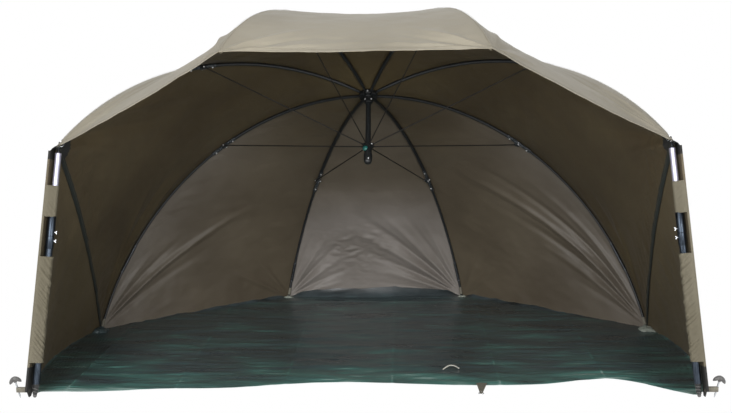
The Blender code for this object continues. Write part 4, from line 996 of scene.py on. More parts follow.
def panel_rows(side_name):
    """The panel's smooth points, and the length of its pole."""
    side = SIDES[side_name]
    matrix, length = pole_matrix(side)
    place = np.array(matrix)
    rows = []
    for share in np.linspace(TOP_SHARE, 1, PANEL_ROWS + 1):
        height = (length - CORNER_DROP) * (1 - share)
        cut = (CORNER_CUT * max(0, share - 1 + CUT_SHARE) - TOP_CUT * max(0, CUT_SHARE - share)) / CUT_SHARE
        local = [(-SIDE_CLEAR - BAND_WIDTH * (1 - i / BAND_STEPS), FLAP_REACH) for i in range(BAND_STEPS)]
        local += [(-SIDE_CLEAR - FLAP_SWELL * sin(pi * i / FLAP_STEPS),
                   FLAP_REACH - (FLAP_REACH + SIDE_CLEAR) * i / FLAP_STEPS) for i in range(FLAP_STEPS)]
        local = [np.array((x, side * f, height + cut * max(0, f / FLAP_REACH))) for x, f in local]
        line = [place[:3, :3] @ point + place[:3, 3] for point in local]
        start = place[:3, :3] @ np.array((-SIDE_CLEAR, -side * SIDE_CLEAR, height)) + place[:3, 3]
        end = hem_point(side_name, share)
        count = PANEL_COLUMNS + 1 - len(line)
        for i in range(count):
            t = i / (count - 1)
            point = start + (end - start) * t
            point[0] += side * SIDE_BULGE * 4 * t * (1 - t) * share
            line.append(point)
        rows.append(line)
    return np.array(rows), length


def storm_side(side_name):
    """One panel, with its hem strip, its flap and its gussets."""
    side = SIDES[side_name]
    outward = np.array((side, 0, 0))
    points, length = panel_rows(side_name)
    step = step_lengths(points)[0]
    u = run_of(step)
    v = np.broadcast_to((np.linspace(TOP_SHARE, 1, PANEL_ROWS + 1) * length)[:, None], u.shape)
    turn = BAND_STEPS + FLAP_STEPS
    room = np.clip((u - u[:, turn:turn + 1]) / EDGE_ROOM, 0, 1) * np.clip((u[:, -1:] - u) / EDGE_ROOM, 0, 1)
    bulge = 0.0040 * clouds(u * 1.6 + v * 0.35, v * 0.5, 0.16, 11.0 + side)
    bulge += 0.0016 * clouds(u * 1.4, v, 0.06, 17.0 + side)
    points = points + grid_normals(points, outward) * (bulge * room)[..., None]
    low = np.clip(1 - np.linspace((1 - TOP_SHARE) / HEM_SINK, 0, PANEL_ROWS + 1)[:, None], 0, 1)
    back = np.clip(np.linspace(-2, 3, PANEL_COLUMNS + 1), 0, 1)
    points[..., 2] -= low * back * np.maximum(points[-1, :, 2] - HEM_LIFT, 0)
    points[..., 2] = np.maximum(points[..., 2], HEM_LIFT)
    normals = grid_normals(points, outward)
    kind = np.ones((PANEL_ROWS, PANEL_COLUMNS), int)
    kind[:, :BAND_STEPS] = np.where(v[:-1, :BAND_STEPS] < DARK_TOP, 1, 3)
    gusset_rows = (v[:-1, :-1] > length * GUSSET_FROM) | (v[:-1, :-1] < TOP_GUSSET)
    kind[(np.arange(PANEL_COLUMNS)[None, :] < turn + 2) & gusset_rows] = 2
    outer = np.where(kind == 1, 0, kind)
    outer[:, :BAND_STEPS] = kind[:, :BAND_STEPS]
    piece = cloth_shell(f"storm_side_cloth_{side_name}", points, normals, CLOTH_HALF,
                        np.stack([u, v], -1), [OUTER_CLOTH, STORM_CLOTH, BLACK_WEBBING, TAB_CLOTH],
                        outer, kind)
    piece.data.validate()
    dress(piece, f"rib_flank_{side_name}", [f"storm_side_{side_name}"])
    gathered(piece)
    down = step_lengths(points)[1]
    drop, area = float(down[:, 0].sum()), cloth_area(step, down)
    return float(u.max()), drop, area


for side_name in SIDES:
    print("storm side", side_name, [round(v, 3) for v in storm_side(side_name)])

# %% [markdown]
# Two tabs of the same cloth wrap each pole and hold the panel to it, a short one high up
# and a long one that is crumpled from use. Each is an outline round the pole, repeated at
# many heights, with slanting folds that grow away from its sewn edge.

# %% Tabs that wrap the poles
TAB_CLEAR, TAB_OVERLAP = 0.0016, 0.0014
TABS = {"upper": (0.718, 0.842, 0.0014), "lower": (0.140, 0.560, 0.0066)}
TAB_SLANT = {-1: 0.9, 1: 0.6}
TAB_HALF, TAB_HEM_HALF, TAB_HEM = 0.0005, 0.0009, 0.010


def tab(side_name, level):
    """Sewn on the hem strip, across the front of the pole, round it and back behind it."""
    side = SIDES[side_name]
    low, high, crumple = TABS[level]
    radius = (POLE_UPPER_RADIUS if level == "upper" else POLE_LOWER_RADIUS) + TAB_CLEAR
    start = (-SIDE_CLEAR - BAND_WIDTH * 0.45, FLAP_REACH + TAB_OVERLAP)
    outline = [(start[0] + (radius * 0.3 - start[0]) * t, start[1] + (radius - start[1]) * t ** 1.3)
               for t in np.linspace(0, 1, 10)]
    outline += [(radius * sin(a), radius * cos(a)) for a in np.linspace(radians(30), radians(205), 18)]
    outline += [(-SIDE_CLEAR + 0.003, -radius * 0.9)]
    matrix, _ = pole_matrix(side)
    rows = max(18, round((high - low) / 0.005))
    heights = np.linspace(high, low, rows + 1)
    local = np.array([[(x, side * f, h) for x, f in outline] for h in heights])
    place = np.array(matrix)
    u = run_of(step_lengths(local)[0])
    v = np.broadcast_to(heights[:, None], u.shape)
    slant = v * 0.8 + u * TAB_SLANT[side]
    folds = np.abs(clouds(slant * 0.5 + u * 0.2, slant * 2.0, 0.040, 31.0 + side, 2)) * crumple
    folds += np.abs(clouds(u * 1.5, slant * 2.2, 0.020, 41.0 + side, 2)) * crumple * 0.4
    folds *= np.clip(np.minimum(u, 0.030) / 0.012, 0, 1)
    points = local @ place[:3, :3].T + place[:3, 3]
    outward = (local - np.array((-0.004, 0, 0))) * np.array((1, 1, 0)) @ place[:3, :3].T
    points = points + grid_normals(points, outward) * folds[..., None]
    normals = grid_normals(points, outward)
    ends = np.minimum(heights - low, high - heights) < TAB_HEM
    thick = np.where(ends[:, None], TAB_HEM_HALF, TAB_HALF)
    piece = cloth_shell(f"pole_tab_{level}_{side_name}", points, normals, thick, np.stack([u, v], -1),
                        [TAB_CLOTH])
    dress(piece, f"rib_flank_{side_name}")
    gathered(piece)
    return float(u.max()), high - low


for side_name in SIDES:
    for level in TABS:
        print("tab", level, side_name, [round(v, 3) for v in tab(side_name, level)])

# %% [markdown]
# ## The groundsheet
#
# The sheet lies on the ground and is wrinkled by it. Its long wrinkles run from side to
# side, because it was last folded that way, and its front edge waves in and out. At the
# back and sides it laps a little way up the cloth, and at the rib feet it lies flat and
# reaches out under them. A grid from the front edge to the back line follows both.

# %% The groundsheet
SHEET_ROWS, SHEET_COLUMNS = 170, 240
SHEET_HALF, SHEET_RISE = 0.0004, 0.0012
FRONT_EDGE = ((-1.306, 0.072), (-1.085, 0.076), (-0.806, 0.113), (-0.520, 0.128), (-0.335, 0.170),
              (-0.145, 0.196), (0.060, 0.190), (0.268, 0.168), (0.510, 0.155), (0.749, 0.175),
              (0.899, 0.226), (1.020, 0.238), (1.120, 0.178), (1.203, 0.098), (1.296, 0.022))
SHEET_INSET, SIDE_INSET = 0.012, -0.006
FOOT_REACH = (0.044, 0.010)
SIDE_REACH = (0.010, 0.018, 0.030)
FLAT_AT_FOOT = {"flank": (0.050, 0.120), "rear": (0.012, 0.060)}
FOLD_HEIGHT, FOLD_WIDTH = 0.0026, 0.011
SHEET_LAP, BACK_LAP, BACK_LAP_HALF = 0.020, 0.030, 0.46
LAP_WIDTH = 0.030
FRONT_HEM, HEM_STEP, HEM_RISE = 0.016, 0.004, 0.0010
# The sheet is drawn paler towards its front edge.
FRONT_PALENESS, PALE_REACH, CLOUD_WEAR = 0.34, 0.19, 0.10
# Painted shade on the sheet where it laps up the cloth at the back.
LAP_SHADE, SHADE_REACH = 0.40, 0.05


def smooth_line(xs, ys, x):
    """A smooth curve through knots, by Hermite pieces."""
    xs, ys = np.asarray(xs, float), np.asarray(ys, float)
    slope = np.gradient(ys, xs)
    i = np.clip(np.searchsorted(xs, x) - 1, 0, len(xs) - 2)
    span = xs[i + 1] - xs[i]
    t = np.clip((x - xs[i]) / span, 0, 1)
    return ((1 + 2 * t) * (1 - t) ** 2 * ys[i] + t * (1 - t) ** 2 * span * slope[i]
            + t * t * (3 - 2 * t) * ys[i + 1] + t * t * (t - 1) * span * slope[i + 1])


def back_line(side_name):
    """On the ground: from the pole round behind it and past the rib feet to the back's middle."""
    side = SIDES[side_name]
    place, _ = pole_matrix(side)
    start = np.array(place @ Vector((-SIDE_CLEAR, -side * SIDE_CLEAR, 0)))[:2]
    end = hem_point(side_name, 1.0)[:2]
    t = np.linspace(0, 1, 24)[:, None]
    line = start + (end - start) * t
    line[:, 0] += side * SIDE_BULGE * 4 * (t * (1 - t))[:, 0]
    flank, rear = (rib_points(side, name, RIB_LENGTHS[name], 0.0)[:2] for name in ("flank", "rear"))
    line = np.concatenate([line[:-1], [flank, rear, (0, rear[1])]])
    inward = np.array((0, HUB.y - 0.45)) - line
    inset = np.full(len(line), SHEET_INSET)
    inset[1:-3] = SIDE_INSET
    inset[-6:-1] = [-reach for reach in SIDE_REACH + FOOT_REACH]
    return line + inward / np.linalg.norm(inward, axis=1, keepdims=True) * inset[:, None]


def sheet_grid():
    """The sheet's points, and how pale it is drawn at each: paler at the front, with painted shade where it
    laps up at the back.
    """
    xs, ys = zip(*FRONT_EDGE)
    t = np.linspace(0, 1, SHEET_COLUMNS + 1)
    front_x = xs[0] + (xs[-1] - xs[0]) * t
    front_y = POLE_ROW + smooth_line(xs, ys, front_x)
    line = np.concatenate([back_line("left"), back_line("right")[-2::-1]])
    reach = np.concatenate([[0], np.linalg.norm(np.diff(line, axis=0), axis=1).cumsum()])
    back_x, back_y = (np.interp(t * reach[-1], reach, line[:, i]) for i in range(2))
    s = 1 - (1 - np.linspace(0, 1, SHEET_ROWS + 1)[:, None]) ** EDGE_CROWDING
    x = front_x + (back_x - front_x) * s
    y = front_y + (back_y - front_y) * s
    ripple = 0.0080 * np.abs(clouds(x * 0.42 + 0.1 * y, y * 2.2, 0.22, 51.0, 3))
    ripple += 0.0022 * np.abs(clouds(x * 0.5 - 0.25 * y, y * 1.8, 0.08, 57.0, 2))
    ripple += 0.0012 * np.abs(clouds(x, y * 1.2, 0.045, 63.0, 1))
    for axis, start, pitch in zip((x, y), FOLD_AT, FOLD_PITCH):
        off = (axis - start + pitch / 2) % pitch - pitch / 2
        ripple = ripple + FOLD_HEIGHT * np.exp(-(off / FOLD_WIDTH) ** 2)
    depth = np.hypot(back_x - front_x, back_y - front_y)
    from_back, from_front = (1 - s) * depth, s * depth
    behind = np.clip((y - HUB.y) / 0.10, 0, 1)
    highest = SHEET_LAP * (1 + 0.35 * clouds(x, y, 0.15, 81.0, 2)) * (0.35 + 0.65 * behind)
    highest = highest + BACK_LAP * behind * np.clip(1 - (x / BACK_LAP_HALF) ** 2, 0, 1)
    lap = highest * np.clip(1 - from_back / LAP_WIDTH, 0, 1) ** 1.6
    hem = HEM_RISE * np.clip(1 - np.abs(from_front - FRONT_HEM) / HEM_STEP, 0, 1)
    rise = SHEET_RISE + ripple * np.clip(from_front / 0.05 + 0.3, 0, 1) + hem
    for side in SIDES.values():
        for name, (start, width) in FLAT_AT_FOOT.items():
            foot = rib_points(side, name, RIB_LENGTHS[name], 0.0)
            clear = np.clip((np.hypot(x - foot[0], y - foot[1]) - start) / width, 0, 1)
            rise, lap = SHEET_RISE + (rise - SHEET_RISE) * clear, lap * clear
    # Paler towards the front edge, and a cloud of wear.
    paleness_and_painted_shade = FRONT_PALENESS * np.exp(-from_front / PALE_REACH)
    paleness_and_painted_shade = paleness_and_painted_shade + CLOUD_WEAR * np.clip(clouds(x * 0.6, y * 2.5, 0.30, 71.0, 3), -1, 1)
    # Painted shade: darker where the sheet laps up the cloth at the back.
    paleness_and_painted_shade = paleness_and_painted_shade - LAP_SHADE * np.clip(1 - from_back / SHADE_REACH, 0, 1) * behind
    return np.stack([x, y, rise + np.maximum(lap, 0)], -1), paleness_and_painted_shade


def groundsheet():
    points, paleness_and_painted_shade = sheet_grid()
    piece = cloth_shell("groundsheet_tarpaulin", points, grid_normals(points, UP), SHEET_HALF,
                        points[..., :2], [SHEET_TARP], tone=paleness_and_painted_shade)
    dress(piece, "root", ["groundsheet"])
    area = cloth_area(*step_lengths(points))
    size = np.ptp(points.reshape(-1, 3), axis=0)
    return size, area


sheet_size, sheet_area = groundsheet()
print("groundsheet:", sheet_size.round(3), "area", round(sheet_area, 3))

# %% [markdown]
# ## Ribs, brackets and stretchers
#
# Each rib is a thick enamelled rod as far as a steel bracket, and a thin one beyond it.
# The rods are swept along the dome's own arc, with a radius for each point, so that the
# thicker part, the plain part and the rounded tip are one closed mesh. The ribs that stand
# on the ground also have a plated sleeve with a ring at each end. The brackets and the
# stretchers are the frame's own nodes and get their finish further down.

# %% Ribs
RIB_RADIUS, RIB_WIDE_RADIUS, RIB_LOWER_RADIUS = 0.0065, 0.0080, 0.0058
RIB_WIDE_FROM, RIB_END_SHARE = 0.045, 0.62
RIB_TUBE_START, RIB_UPPER_END, LOWER_GAP = 0.016, 0.800, 0.004
FERRULES = {"flank": (1.488, 1.640), "rear": (1.330, 1.440)}
FERRULE_RADIUS, FERRULE_RING, RING_LENGTH = 0.0072, 0.0080, 0.008
RING_SHARES = ((0, 0.8), (0.001, 1), (0.007, 1), (0.008, 0.8))
TIP_LENGTH = 0.030
TIP_SHARES = ((0.003, 1), (0.0006, 0.8), (0, 0.45))
BRACKET_RADIUS = 0.0088


def along_rib(side, name, lengths, radii, label, material, flat=1.0):
    """A round rod along a rib, with a radius at each of these lengths."""
    path = rib_points(side, name, lengths, 0.0)
    return sweep(label, path, list(radii), material, up=rib_across(side, name), flat=flat)


def steps_between(start, end, step=0.025):
    return list(np.linspace(start, end, max(2, round((end - start) / step) + 1)))


def rib_rods(side_name, name):
    """The upper and lower rods of one rib, and the sleeve on a rib that stands on the ground."""
    side = SIDES[side_name]
    label = f"{name}_{side_name}"
    body = f"rib_{label}"
    upper = steps_between(RIB_TUBE_START, RIB_UPPER_END)
    radii = [RIB_RADIUS * RIB_END_SHARE if i == 0 else RIB_RADIUS if s < RIB_WIDE_FROM else RIB_WIDE_RADIUS
             for i, s in enumerate(upper)]
    dress(along_rib(side, name, upper, radii, f"rib_{label}_upper_rod", ENAMEL), body)
    if name in FERRULES:
        start, end = FERRULES[name]
        sleeve = along_rib(side, name, [start, start + 0.001, end - 0.001, end],
                           [FERRULE_RADIUS * share for share in (0.85, 1, 1, 0.85)], "sleeve", PLATED_BLACK)
        rings = [along_rib(side, name, [at + more for more, _ in RING_SHARES],
                           [FERRULE_RING * share for _, share in RING_SHARES], "ring", ZINC_STEEL)
                 for at in (start, end - RING_LENGTH)]
        dress(joined(f"rib_{label}_ferrule", [sleeve] + rings), body)
    length, cap = RIB_LENGTHS[name], RIB_TIP_RADIUS
    tip = length - TIP_LENGTH
    stations = [(s, RIB_LOWER_RADIUS) for s in steps_between(RIB_UPPER_END + LOWER_GAP, tip)]
    stations += [(tip + 0.0005, cap * 0.92), (tip + 0.002, cap)]
    stations += [(length - less, cap * share) for less, share in TIP_SHARES]
    lower = along_rib(side, name, *zip(*stations), f"rib_{label}_lower_rod", ENAMEL)
    dress(lower, body, [f"rib_{label}_lower"])


for side_name in SIDES:
    for rib_name in RIB_LENGTHS:
        rib_rods(side_name, rib_name)
print("ribs dressed:", 2 * len(RIB_LENGTHS))

# %% [markdown]
# ## Storm poles
#
# A storm pole is an aluminium tube that slides in a wider one. Its top is plugged, and a
# dark threaded pin stands up from the plug and goes through an eyelet in the canopy's
# corner. A bent wire hook hangs on the pin. A collar covers the joint of the tubes, and
# two small wing screws lock it. The foot is a moulded auger point with a pale ridge.

# %% Pole tops
PIN_RADIUS, PIN_LENGTH, THREAD_PITCH, THREAD_DEPTH = 0.0040, 0.042, 0.0030, 0.0007
POLE_OVERLAP, TUBE_WALL, TUBE_EDGE = 0.280, 0.0013, 0.0006
PLUG_LENGTH, PLUG_RISE, PLUG_GAP = 0.030, 0.0016, 0.0002
HOOK_RADIUS, HOOK_WIRE, HOOK_DROP, HOOK_RISE = 0.0060, 0.0013, 0.030, 0.0006
HOOK_BEND = [(0.012, 0.002, -0.024), (0.018, 0.001, -0.018), (0.019, 0.0, -0.011), (0.013, -0.001, -0.009),
             (0.009, -0.001, -0.014)]


def pole_top_piece(side_name):
    """The upper tube, the plug in its end and the threaded pin on the plug."""
    matrix, length = pole_matrix(SIDES[side_name])
    shoulder, low = length - POLE_TOP_DROP, POLE_JOINT_HEIGHT - POLE_OVERLAP
    r, inner = POLE_UPPER_RADIUS, POLE_UPPER_RADIUS - TUBE_WALL
    rim = shoulder - 0.004
    tube = lathe("tube", [(r - TUBE_EDGE, rim), (r, rim - TUBE_EDGE), (r, low + TUBE_EDGE),
                          (r - TUBE_EDGE, low), (inner, low), (inner, shoulder - 0.050), (inner, rim)],
                 SILVER_TUBE, matrix)
    top, snug = shoulder + PLUG_RISE, inner - PLUG_GAP
    plug = lathe("plug", [(0, top), (r * 0.55, top), (r - 0.0010, shoulder - TUBE_EDGE),
                          (r - TUBE_EDGE, shoulder - 0.0038), (snug, shoulder - 0.0044),
                          (snug, shoulder - PLUG_LENGTH), (0, shoulder - PLUG_LENGTH)], NYLON, matrix)
    top, bottom = shoulder + PIN_LENGTH, top + PLUG_GAP
    root = PIN_RADIUS - THREAD_DEPTH
    thread = [(0, top), (PIN_RADIUS * 0.5, top - 0.0002), (root, top - 0.0024)]
    for i in range(int((top - 0.006 - bottom) / THREAD_PITCH)):
        high = top - 0.003 - i * THREAD_PITCH
        thread += [(PIN_RADIUS, high - THREAD_PITCH * 0.4), (root, high - THREAD_PITCH)]
    pin = lathe("pin", thread + [(root, bottom), (0, bottom)], PLATED_BLACK, matrix, steps=20)
    return dress(joined(f"pole_top_{side_name}", [tube, plug, pin]), f"pole_upper_{side_name}",
                 [f"pole_upper_tube_{side_name}"])


def pole_hook(side_name):
    """A wire hook whose eye turns once round the pin."""
    matrix, length = pole_matrix(SIDES[side_name])
    line = [(HOOK_RADIUS * cos(a), HOOK_RADIUS * sin(a), HOOK_RISE * a - HOOK_DROP)
            for a in np.linspace(pi, 3 * pi + 0.6, 22)] + HOOK_BEND
    path = [matrix @ Vector((x, y, length + z)) for x, y, z in line]
    wire = sweep(f"pole_hook_{side_name}", path, HOOK_WIRE, BRIGHT_STEEL, sides=10,
                 up=matrix.to_3x3() @ Vector((0.1, 0.2, 1)).normalized())
    return dress(wire, f"pole_upper_{side_name}")


# %% [markdown]
# The collar and the auger foot are turned shapes, so each is a short profile of radii and
# heights. The foot's pale ridge is a wire swept round its cone, five half turns in all. A
# wing screw is turned too, with two small flattened wings, and lies across the pole.

# %% Collars, feet and wing screws
COLLAR_RADIUS, COLLAR_LOW, COLLAR_HIGH = 0.0160, 0.590, 0.722
COLLAR_EDGE, COLLAR_ROUND = 0.0014, 0.0020
GROOVE_DEPTH, GROOVE_HALF, GROOVE_FLAT = 0.0012, 0.0016, 0.0008
SLIDE_GAP, COLLAR_GAP = 0.0004, 0.0003
FOOT_LENGTH, FOOT_PLUG, CONE_LOW, CONE_END = 0.055, 0.025, 0.0135, 0.0078
AUGER_TIP = [(0, 0.0134), (CONE_END, 0.0134), (0.0074, 0.0075), (0.0056, 0.0035), (0.0030, 0.0016),
             (0, 0.0012)]
RIDGE_TURNS, RIDGE_TOP, RIDGE_DROP, RIDGE_RADIUS = 5 * pi, 0.046, 0.030, 0.0017
SCREW_OFFSET = {"lower": -0.017, "upper": 0.017}
SHANK_RADIUS, SHANK_END = 0.0024, 0.0225
BOSS = [(0, 0.0240), (0.0020, 0.0240), (0.0030, 0.0232), (0.0035, 0.0182), (0.0025, 0.0178), (0.0025, 0.0226),
        (0, 0.0226)]
WING_LINE = ((0.0028, 0.0215), (0.0038, 0.0222), (0.0048, 0.0233), (0.0055, 0.0245), (0.0058, 0.0252))
WING_RADII, WING_FLAT = [0.0022, 0.0024, 0.0025, 0.0021, 0.0009], 0.42


def collar(side_name):
    """Two short sleeves with a groove between them, over the joint of the tubes."""
    matrix, _ = pole_matrix(SIDES[side_name])
    r, groove = COLLAR_RADIUS, POLE_JOINT_HEIGHT
    wide, narrow = POLE_LOWER_RADIUS + COLLAR_GAP, POLE_UPPER_RADIUS + SLIDE_GAP
    piece = lathe(f"pole_collar_{side_name}", [
        (r - COLLAR_EDGE, COLLAR_HIGH), (r, COLLAR_HIGH - COLLAR_ROUND), (r, groove + GROOVE_HALF),
        (r - GROOVE_DEPTH, groove + GROOVE_FLAT), (r - GROOVE_DEPTH, groove - GROOVE_FLAT),
        (r, groove - GROOVE_HALF), (r, COLLAR_LOW + COLLAR_ROUND), (r - COLLAR_EDGE, COLLAR_LOW),
        (wide, COLLAR_LOW), (wide, groove + COLLAR_GAP), (narrow, groove + COLLAR_GAP),
        (narrow, COLLAR_HIGH)],
        GUNMETAL, matrix)
    return dress(piece, "root", [f"pole_clamp_{side_name}"])


def auger_foot(side_name):
    """The moulded foot, its grey point and the ridge that winds round it."""
    matrix, _ = pole_matrix(SIDES[side_name])
    top, plug, inside = FOOT_LENGTH - 0.0003, POLE_LOWER_RADIUS - 0.0018, FOOT_LENGTH + FOOT_PLUG
    core = [(0, inside), (plug, inside), (plug, top), (POLE_LOWER_RADIUS, top),
            (POLE_LOWER_RADIUS, top - 0.004), (0.0118, top - 0.008), (0.0092, 0.022),
            (CONE_END, CONE_LOW), (0, CONE_LOW)]
    body = lathe("core", core, RUBBER, matrix)
    tip = lathe("tip", AUGER_TIP, GREY_PLASTIC, matrix)
    coil = []
    for a in np.linspace(0, RIDGE_TURNS, 70):
        high = RIDGE_TOP - RIDGE_DROP * a / RIDGE_TURNS
        reach = 0.0080 + 0.0034 * (high - CONE_LOW) / 0.033 + 0.0006
        coil.append(matrix @ Vector((reach * cos(a), reach * sin(a), high)))
    ridge = sweep("ridge", coil, RIDGE_RADIUS, GREY_PLASTIC, sides=8, up=matrix.to_3x3() @ Vector((0, 0, 1)))
    return dress(joined(f"pole_auger_{side_name}", [body, tip, ridge]), "root",
                 [f"pole_foot_{side_name}"])


def wing_screw(side_name, level):
    """A small wing screw that presses on a tube through the collar."""
    matrix, _ = pole_matrix(SIDES[side_name])
    height = POLE_JOINT_HEIGHT + SCREW_OFFSET[level]
    place = matrix @ Matrix.Translation((0, 0, height)) @ Matrix.Rotation(pi / 2, 4, "Y")
    tip = (POLE_LOWER_RADIUS if level == "lower" else POLE_UPPER_RADIUS) + SLIDE_GAP
    line = [(0, SHANK_END), (SHANK_RADIUS, SHANK_END), (SHANK_RADIUS, tip), (0, tip)]
    shank = lathe("shank", line, BRIGHT_STEEL, place, steps=16)
    boss = lathe("boss", BOSS, BRIGHT_STEEL, place, steps=20)
    wings = [sweep("wing", [place @ Vector((sign * x, 0, z)) for x, z in WING_LINE], WING_RADII, BRIGHT_STEEL,
                   sides=12, up=place.to_3x3() @ Vector((0, 1, 0)), flat=WING_FLAT) for sign in (-1, 1)]
    name = f"thumbscrew_{level}_{side_name}"
    return dress(joined(f"wing_screw_{level}_{side_name}", [shank, boss] + wings), name, [name])


# %% [markdown]
# At the canopy's corner a pressed steel eyelet goes round the pin. Below it, a patch of
# black webbing takes the pull: it joins the canopy's hem to the top of the panel's flap,
# so it is a grid whose upper edge lies on one and whose lower edge lies on the other.

# %% Eyelets and corner patches
EYELET = [(0.0066, 0.0016), (0.0088, 0.0016), (0.0104, 0.0008), (0.0106, -0.0008), (0.0088, -0.0018),
          (0.0066, -0.0018), (0.0056, 0.0)]


def corner_eyelet(side_name):
    """A pressed eyelet in the canopy's corner, round the pole's pin."""
    middle = Vector(rib_points(SIDES[side_name], "side", POLE_PIN_AT, HUG_GAP))
    facing = (middle - DOME_CENTRE).to_track_quat("Z", "Y").to_matrix().to_4x4()
    ring = lathe(f"corner_eyelet_{side_name}", EYELET, BRIGHT_STEEL, Matrix.Translation(middle) @ facing,
                 steps=28)
    return dress(ring, f"rib_side_{side_name}")


CORNER_SPAN, CORNER_DIP = 0.035, 0.010
PATCH_ROWS, PATCH_HALF, PATCH_CLEAR, PATCH_SWELL = 8, 0.0007, 0.0016, 0.004


def corner_patch(side_name):
    """Black webbing that joins the canopy's corner to the top of the storm side's flap."""
    side = SIDES[side_name]
    matrix, length = pole_matrix(side)
    near = np.linspace(1 - CORNER_SPAN, 1, 6)
    one = np.ones(6)
    front = gore_grid((side_name, "front"), (side_name, "side"), one, near)[0]
    back = gore_grid((side_name, "side"), (side_name, "flank"), one, 1 - near)[0][::-1][1:]
    upper = np.concatenate([front, back])
    high = length - CORNER_DROP - CORNER_DIP
    turns = [(-SIDE_CLEAR - BAND_WIDTH, FLAP_REACH, high - TOP_CUT),
             (-SIDE_CLEAR - 0.001, FLAP_REACH, high - TOP_CUT),
             (-SIDE_CLEAR - 0.003, 0.0, high), (-SIDE_CLEAR - 0.001, -SIDE_CLEAR, high)]
    knots = np.linspace(0, 3, len(upper))
    lower = np.array([matrix @ Vector((x, side * y, z)) for x, y, z in
                      zip(*(np.interp(knots, range(4), values) for values in zip(*turns)))])
    t = np.linspace(0, 1, PATCH_ROWS)[:, None, None]
    points = upper + (lower - upper) * t
    outward = np.array((side, 0, 0))
    normals = grid_normals(points, outward)
    points = points + normals * (PATCH_SWELL * np.sin(pi * t) + PATCH_CLEAR)
    across, down = step_lengths(points)
    u, v = run_of(across), run_of(down, 0)
    width, drop = float(u.max()), float(v.max())
    patch = cloth_shell(f"corner_patch_{side_name}", points, normals, PATCH_HALF, np.stack([u, v], -1),
                        [BLACK_WEBBING])
    dress(patch, f"rib_side_{side_name}")
    gathered(patch)
    return width, drop


for side_name in SIDES:
    print("corner patch", [round(v, 3) for v in corner_patch(side_name)])
    pole_top_piece(side_name)
    pole_hook(side_name)
    collar(side_name)
    auger_foot(side_name)
    corner_eyelet(side_name)
    for level in SCREW_OFFSET:
        wing_screw(side_name, level)
print("poles dressed")

# %% [markdown]
# ## Pegs
#
# Each peg is a steel pin with a moulded T-head whose arms droop, so that a thumb can
# press on it and a hand can pull it. A loop of webbing, sewn to the storm side's black
# gusset, goes round the pin.

# %% Pegs and their webbing loops
PEG_OUT, PEG_LEAN, PEG_SINK = 0.056, radians(15), 0.0035
PEG_HEAD_HALF, PEG_HEAD_HEIGHT, PEG_HEAD_DROOP = 0.0240, 0.0790, 0.0170
PEG_HEAD_RADIUS, PEG_HEAD_FLAT = 0.0102, 1.12
PEG_PIN = [(0, 0.066), (0.0034, 0.066), (0.0034, 0.0120), (0.0012, 0), (0, 0)]
PEG_NECK = [(0, 0.0805), (0.0072, 0.0800), (0.0066, 0.0720), (0.0058, 0.0665), (0.0052, 0.0645),
            (0.0036, 0.0640), (0.0036, 0.0662), (0, 0.0662)]
LOOP_LOW, LOOP_HEIGHT, LOOP_RADIUS, LOOP_HALF = 0.024, 0.019, 0.0056, 0.0007


def peg_matrix(side):
    """World matrix of a peg, which leans outwards. Z runs up its pin."""
    return (Matrix.Translation((side * (POLE_SPREAD / 2 + PEG_OUT), POLE_ROW, PEG_SINK * sin(PEG_LEAN)))
            @ Matrix.Rotation(side * PEG_LEAN, 4, "Y"))


def peg(side_name):
    matrix = peg_matrix(SIDES[side_name])
    pin = lathe("pin", PEG_PIN, BRIGHT_STEEL, matrix, steps=18)
    neck = lathe("neck", PEG_NECK, GREY_PLASTIC, matrix)
    x = np.linspace(-1, 1, 17)
    arms = [matrix @ Vector((PEG_HEAD_HALF * t, 0, PEG_HEAD_HEIGHT - PEG_HEAD_DROOP * t * t)) for t in x]
    radii = [PEG_HEAD_RADIUS * sqrt(max(0.03, 1 - abs(t) ** 4)) * (1 - 0.30 * abs(t)) for t in x]
    head = sweep("head", arms, radii, GREY_PLASTIC, sides=24, up=matrix.to_3x3() @ Vector((0, 1, 0)),
                 flat=PEG_HEAD_FLAT)
    return dress(joined(f"peg_moulded_{side_name}", [pin, neck, head]), f"peg_{side_name}",
                 [f"peg_{side_name}"])


def peg_loop(side_name):
    """Webbing that runs out from the gusset, round the pin and back."""
    side = SIDES[side_name]
    level = LOOP_LOW + LOOP_HEIGHT / 2
    pin = peg_matrix(side) @ Vector((0, 0, level / cos(PEG_LEAN)))
    place, _ = pole_matrix(side)
    root = (place @ Vector((-SIDE_CLEAR - 0.001, 0, level))).x
    legs = np.linspace(0, 1, 8)
    path = [(root + (pin.x - root) * t, pin.y - LOOP_RADIUS) for t in legs[:-1]]
    path += [(pin.x + side * LOOP_RADIUS * cos(a), pin.y + LOOP_RADIUS * sin(a))
             for a in np.linspace(-pi / 2, pi / 2, 14)]
    path += [(pin.x + (root - pin.x) * t, pin.y + LOOP_RADIUS) for t in legs[1:]]
    heights = np.linspace(LOOP_LOW, LOOP_LOW + LOOP_HEIGHT, 5)
    points = np.array([[(px, py, h) for px, py in path] for h in heights])
    u = run_of(step_lengths(points)[0])
    uv = np.stack([np.broadcast_to(heights[:, None], u.shape), u], -1)
    strap = cloth_shell(f"peg_loop_{side_name}", points, grid_normals(points), LOOP_HALF, uv, [GREY_WEBBING])
    dress(strap, f"rib_flank_{side_name}")
    gathered(strap)
    return float(u.max())


for side_name in SIDES:
    peg(side_name)
    print("peg loop", side_name, round(peg_loop(side_name), 3))

# %% [markdown]
# ## Repeats by Geometry Nodes
#
# Stitches and rivets come in hundreds, so each kind is one node tree. The stitch tree
# takes the seam as a line, steps along it by the stitch pitch, and lays one short thread
# on each step, turned along the seam. The rivet tree puts a domed head on each point.

# %% Node trees for stitches and rivets
STITCH_PITCH, STITCH_LENGTH, THREAD_RADIUS, THREAD_SIDES = 0.0068, 0.0046, 0.00042, 6
RIVET_RADIUS = 0.0030


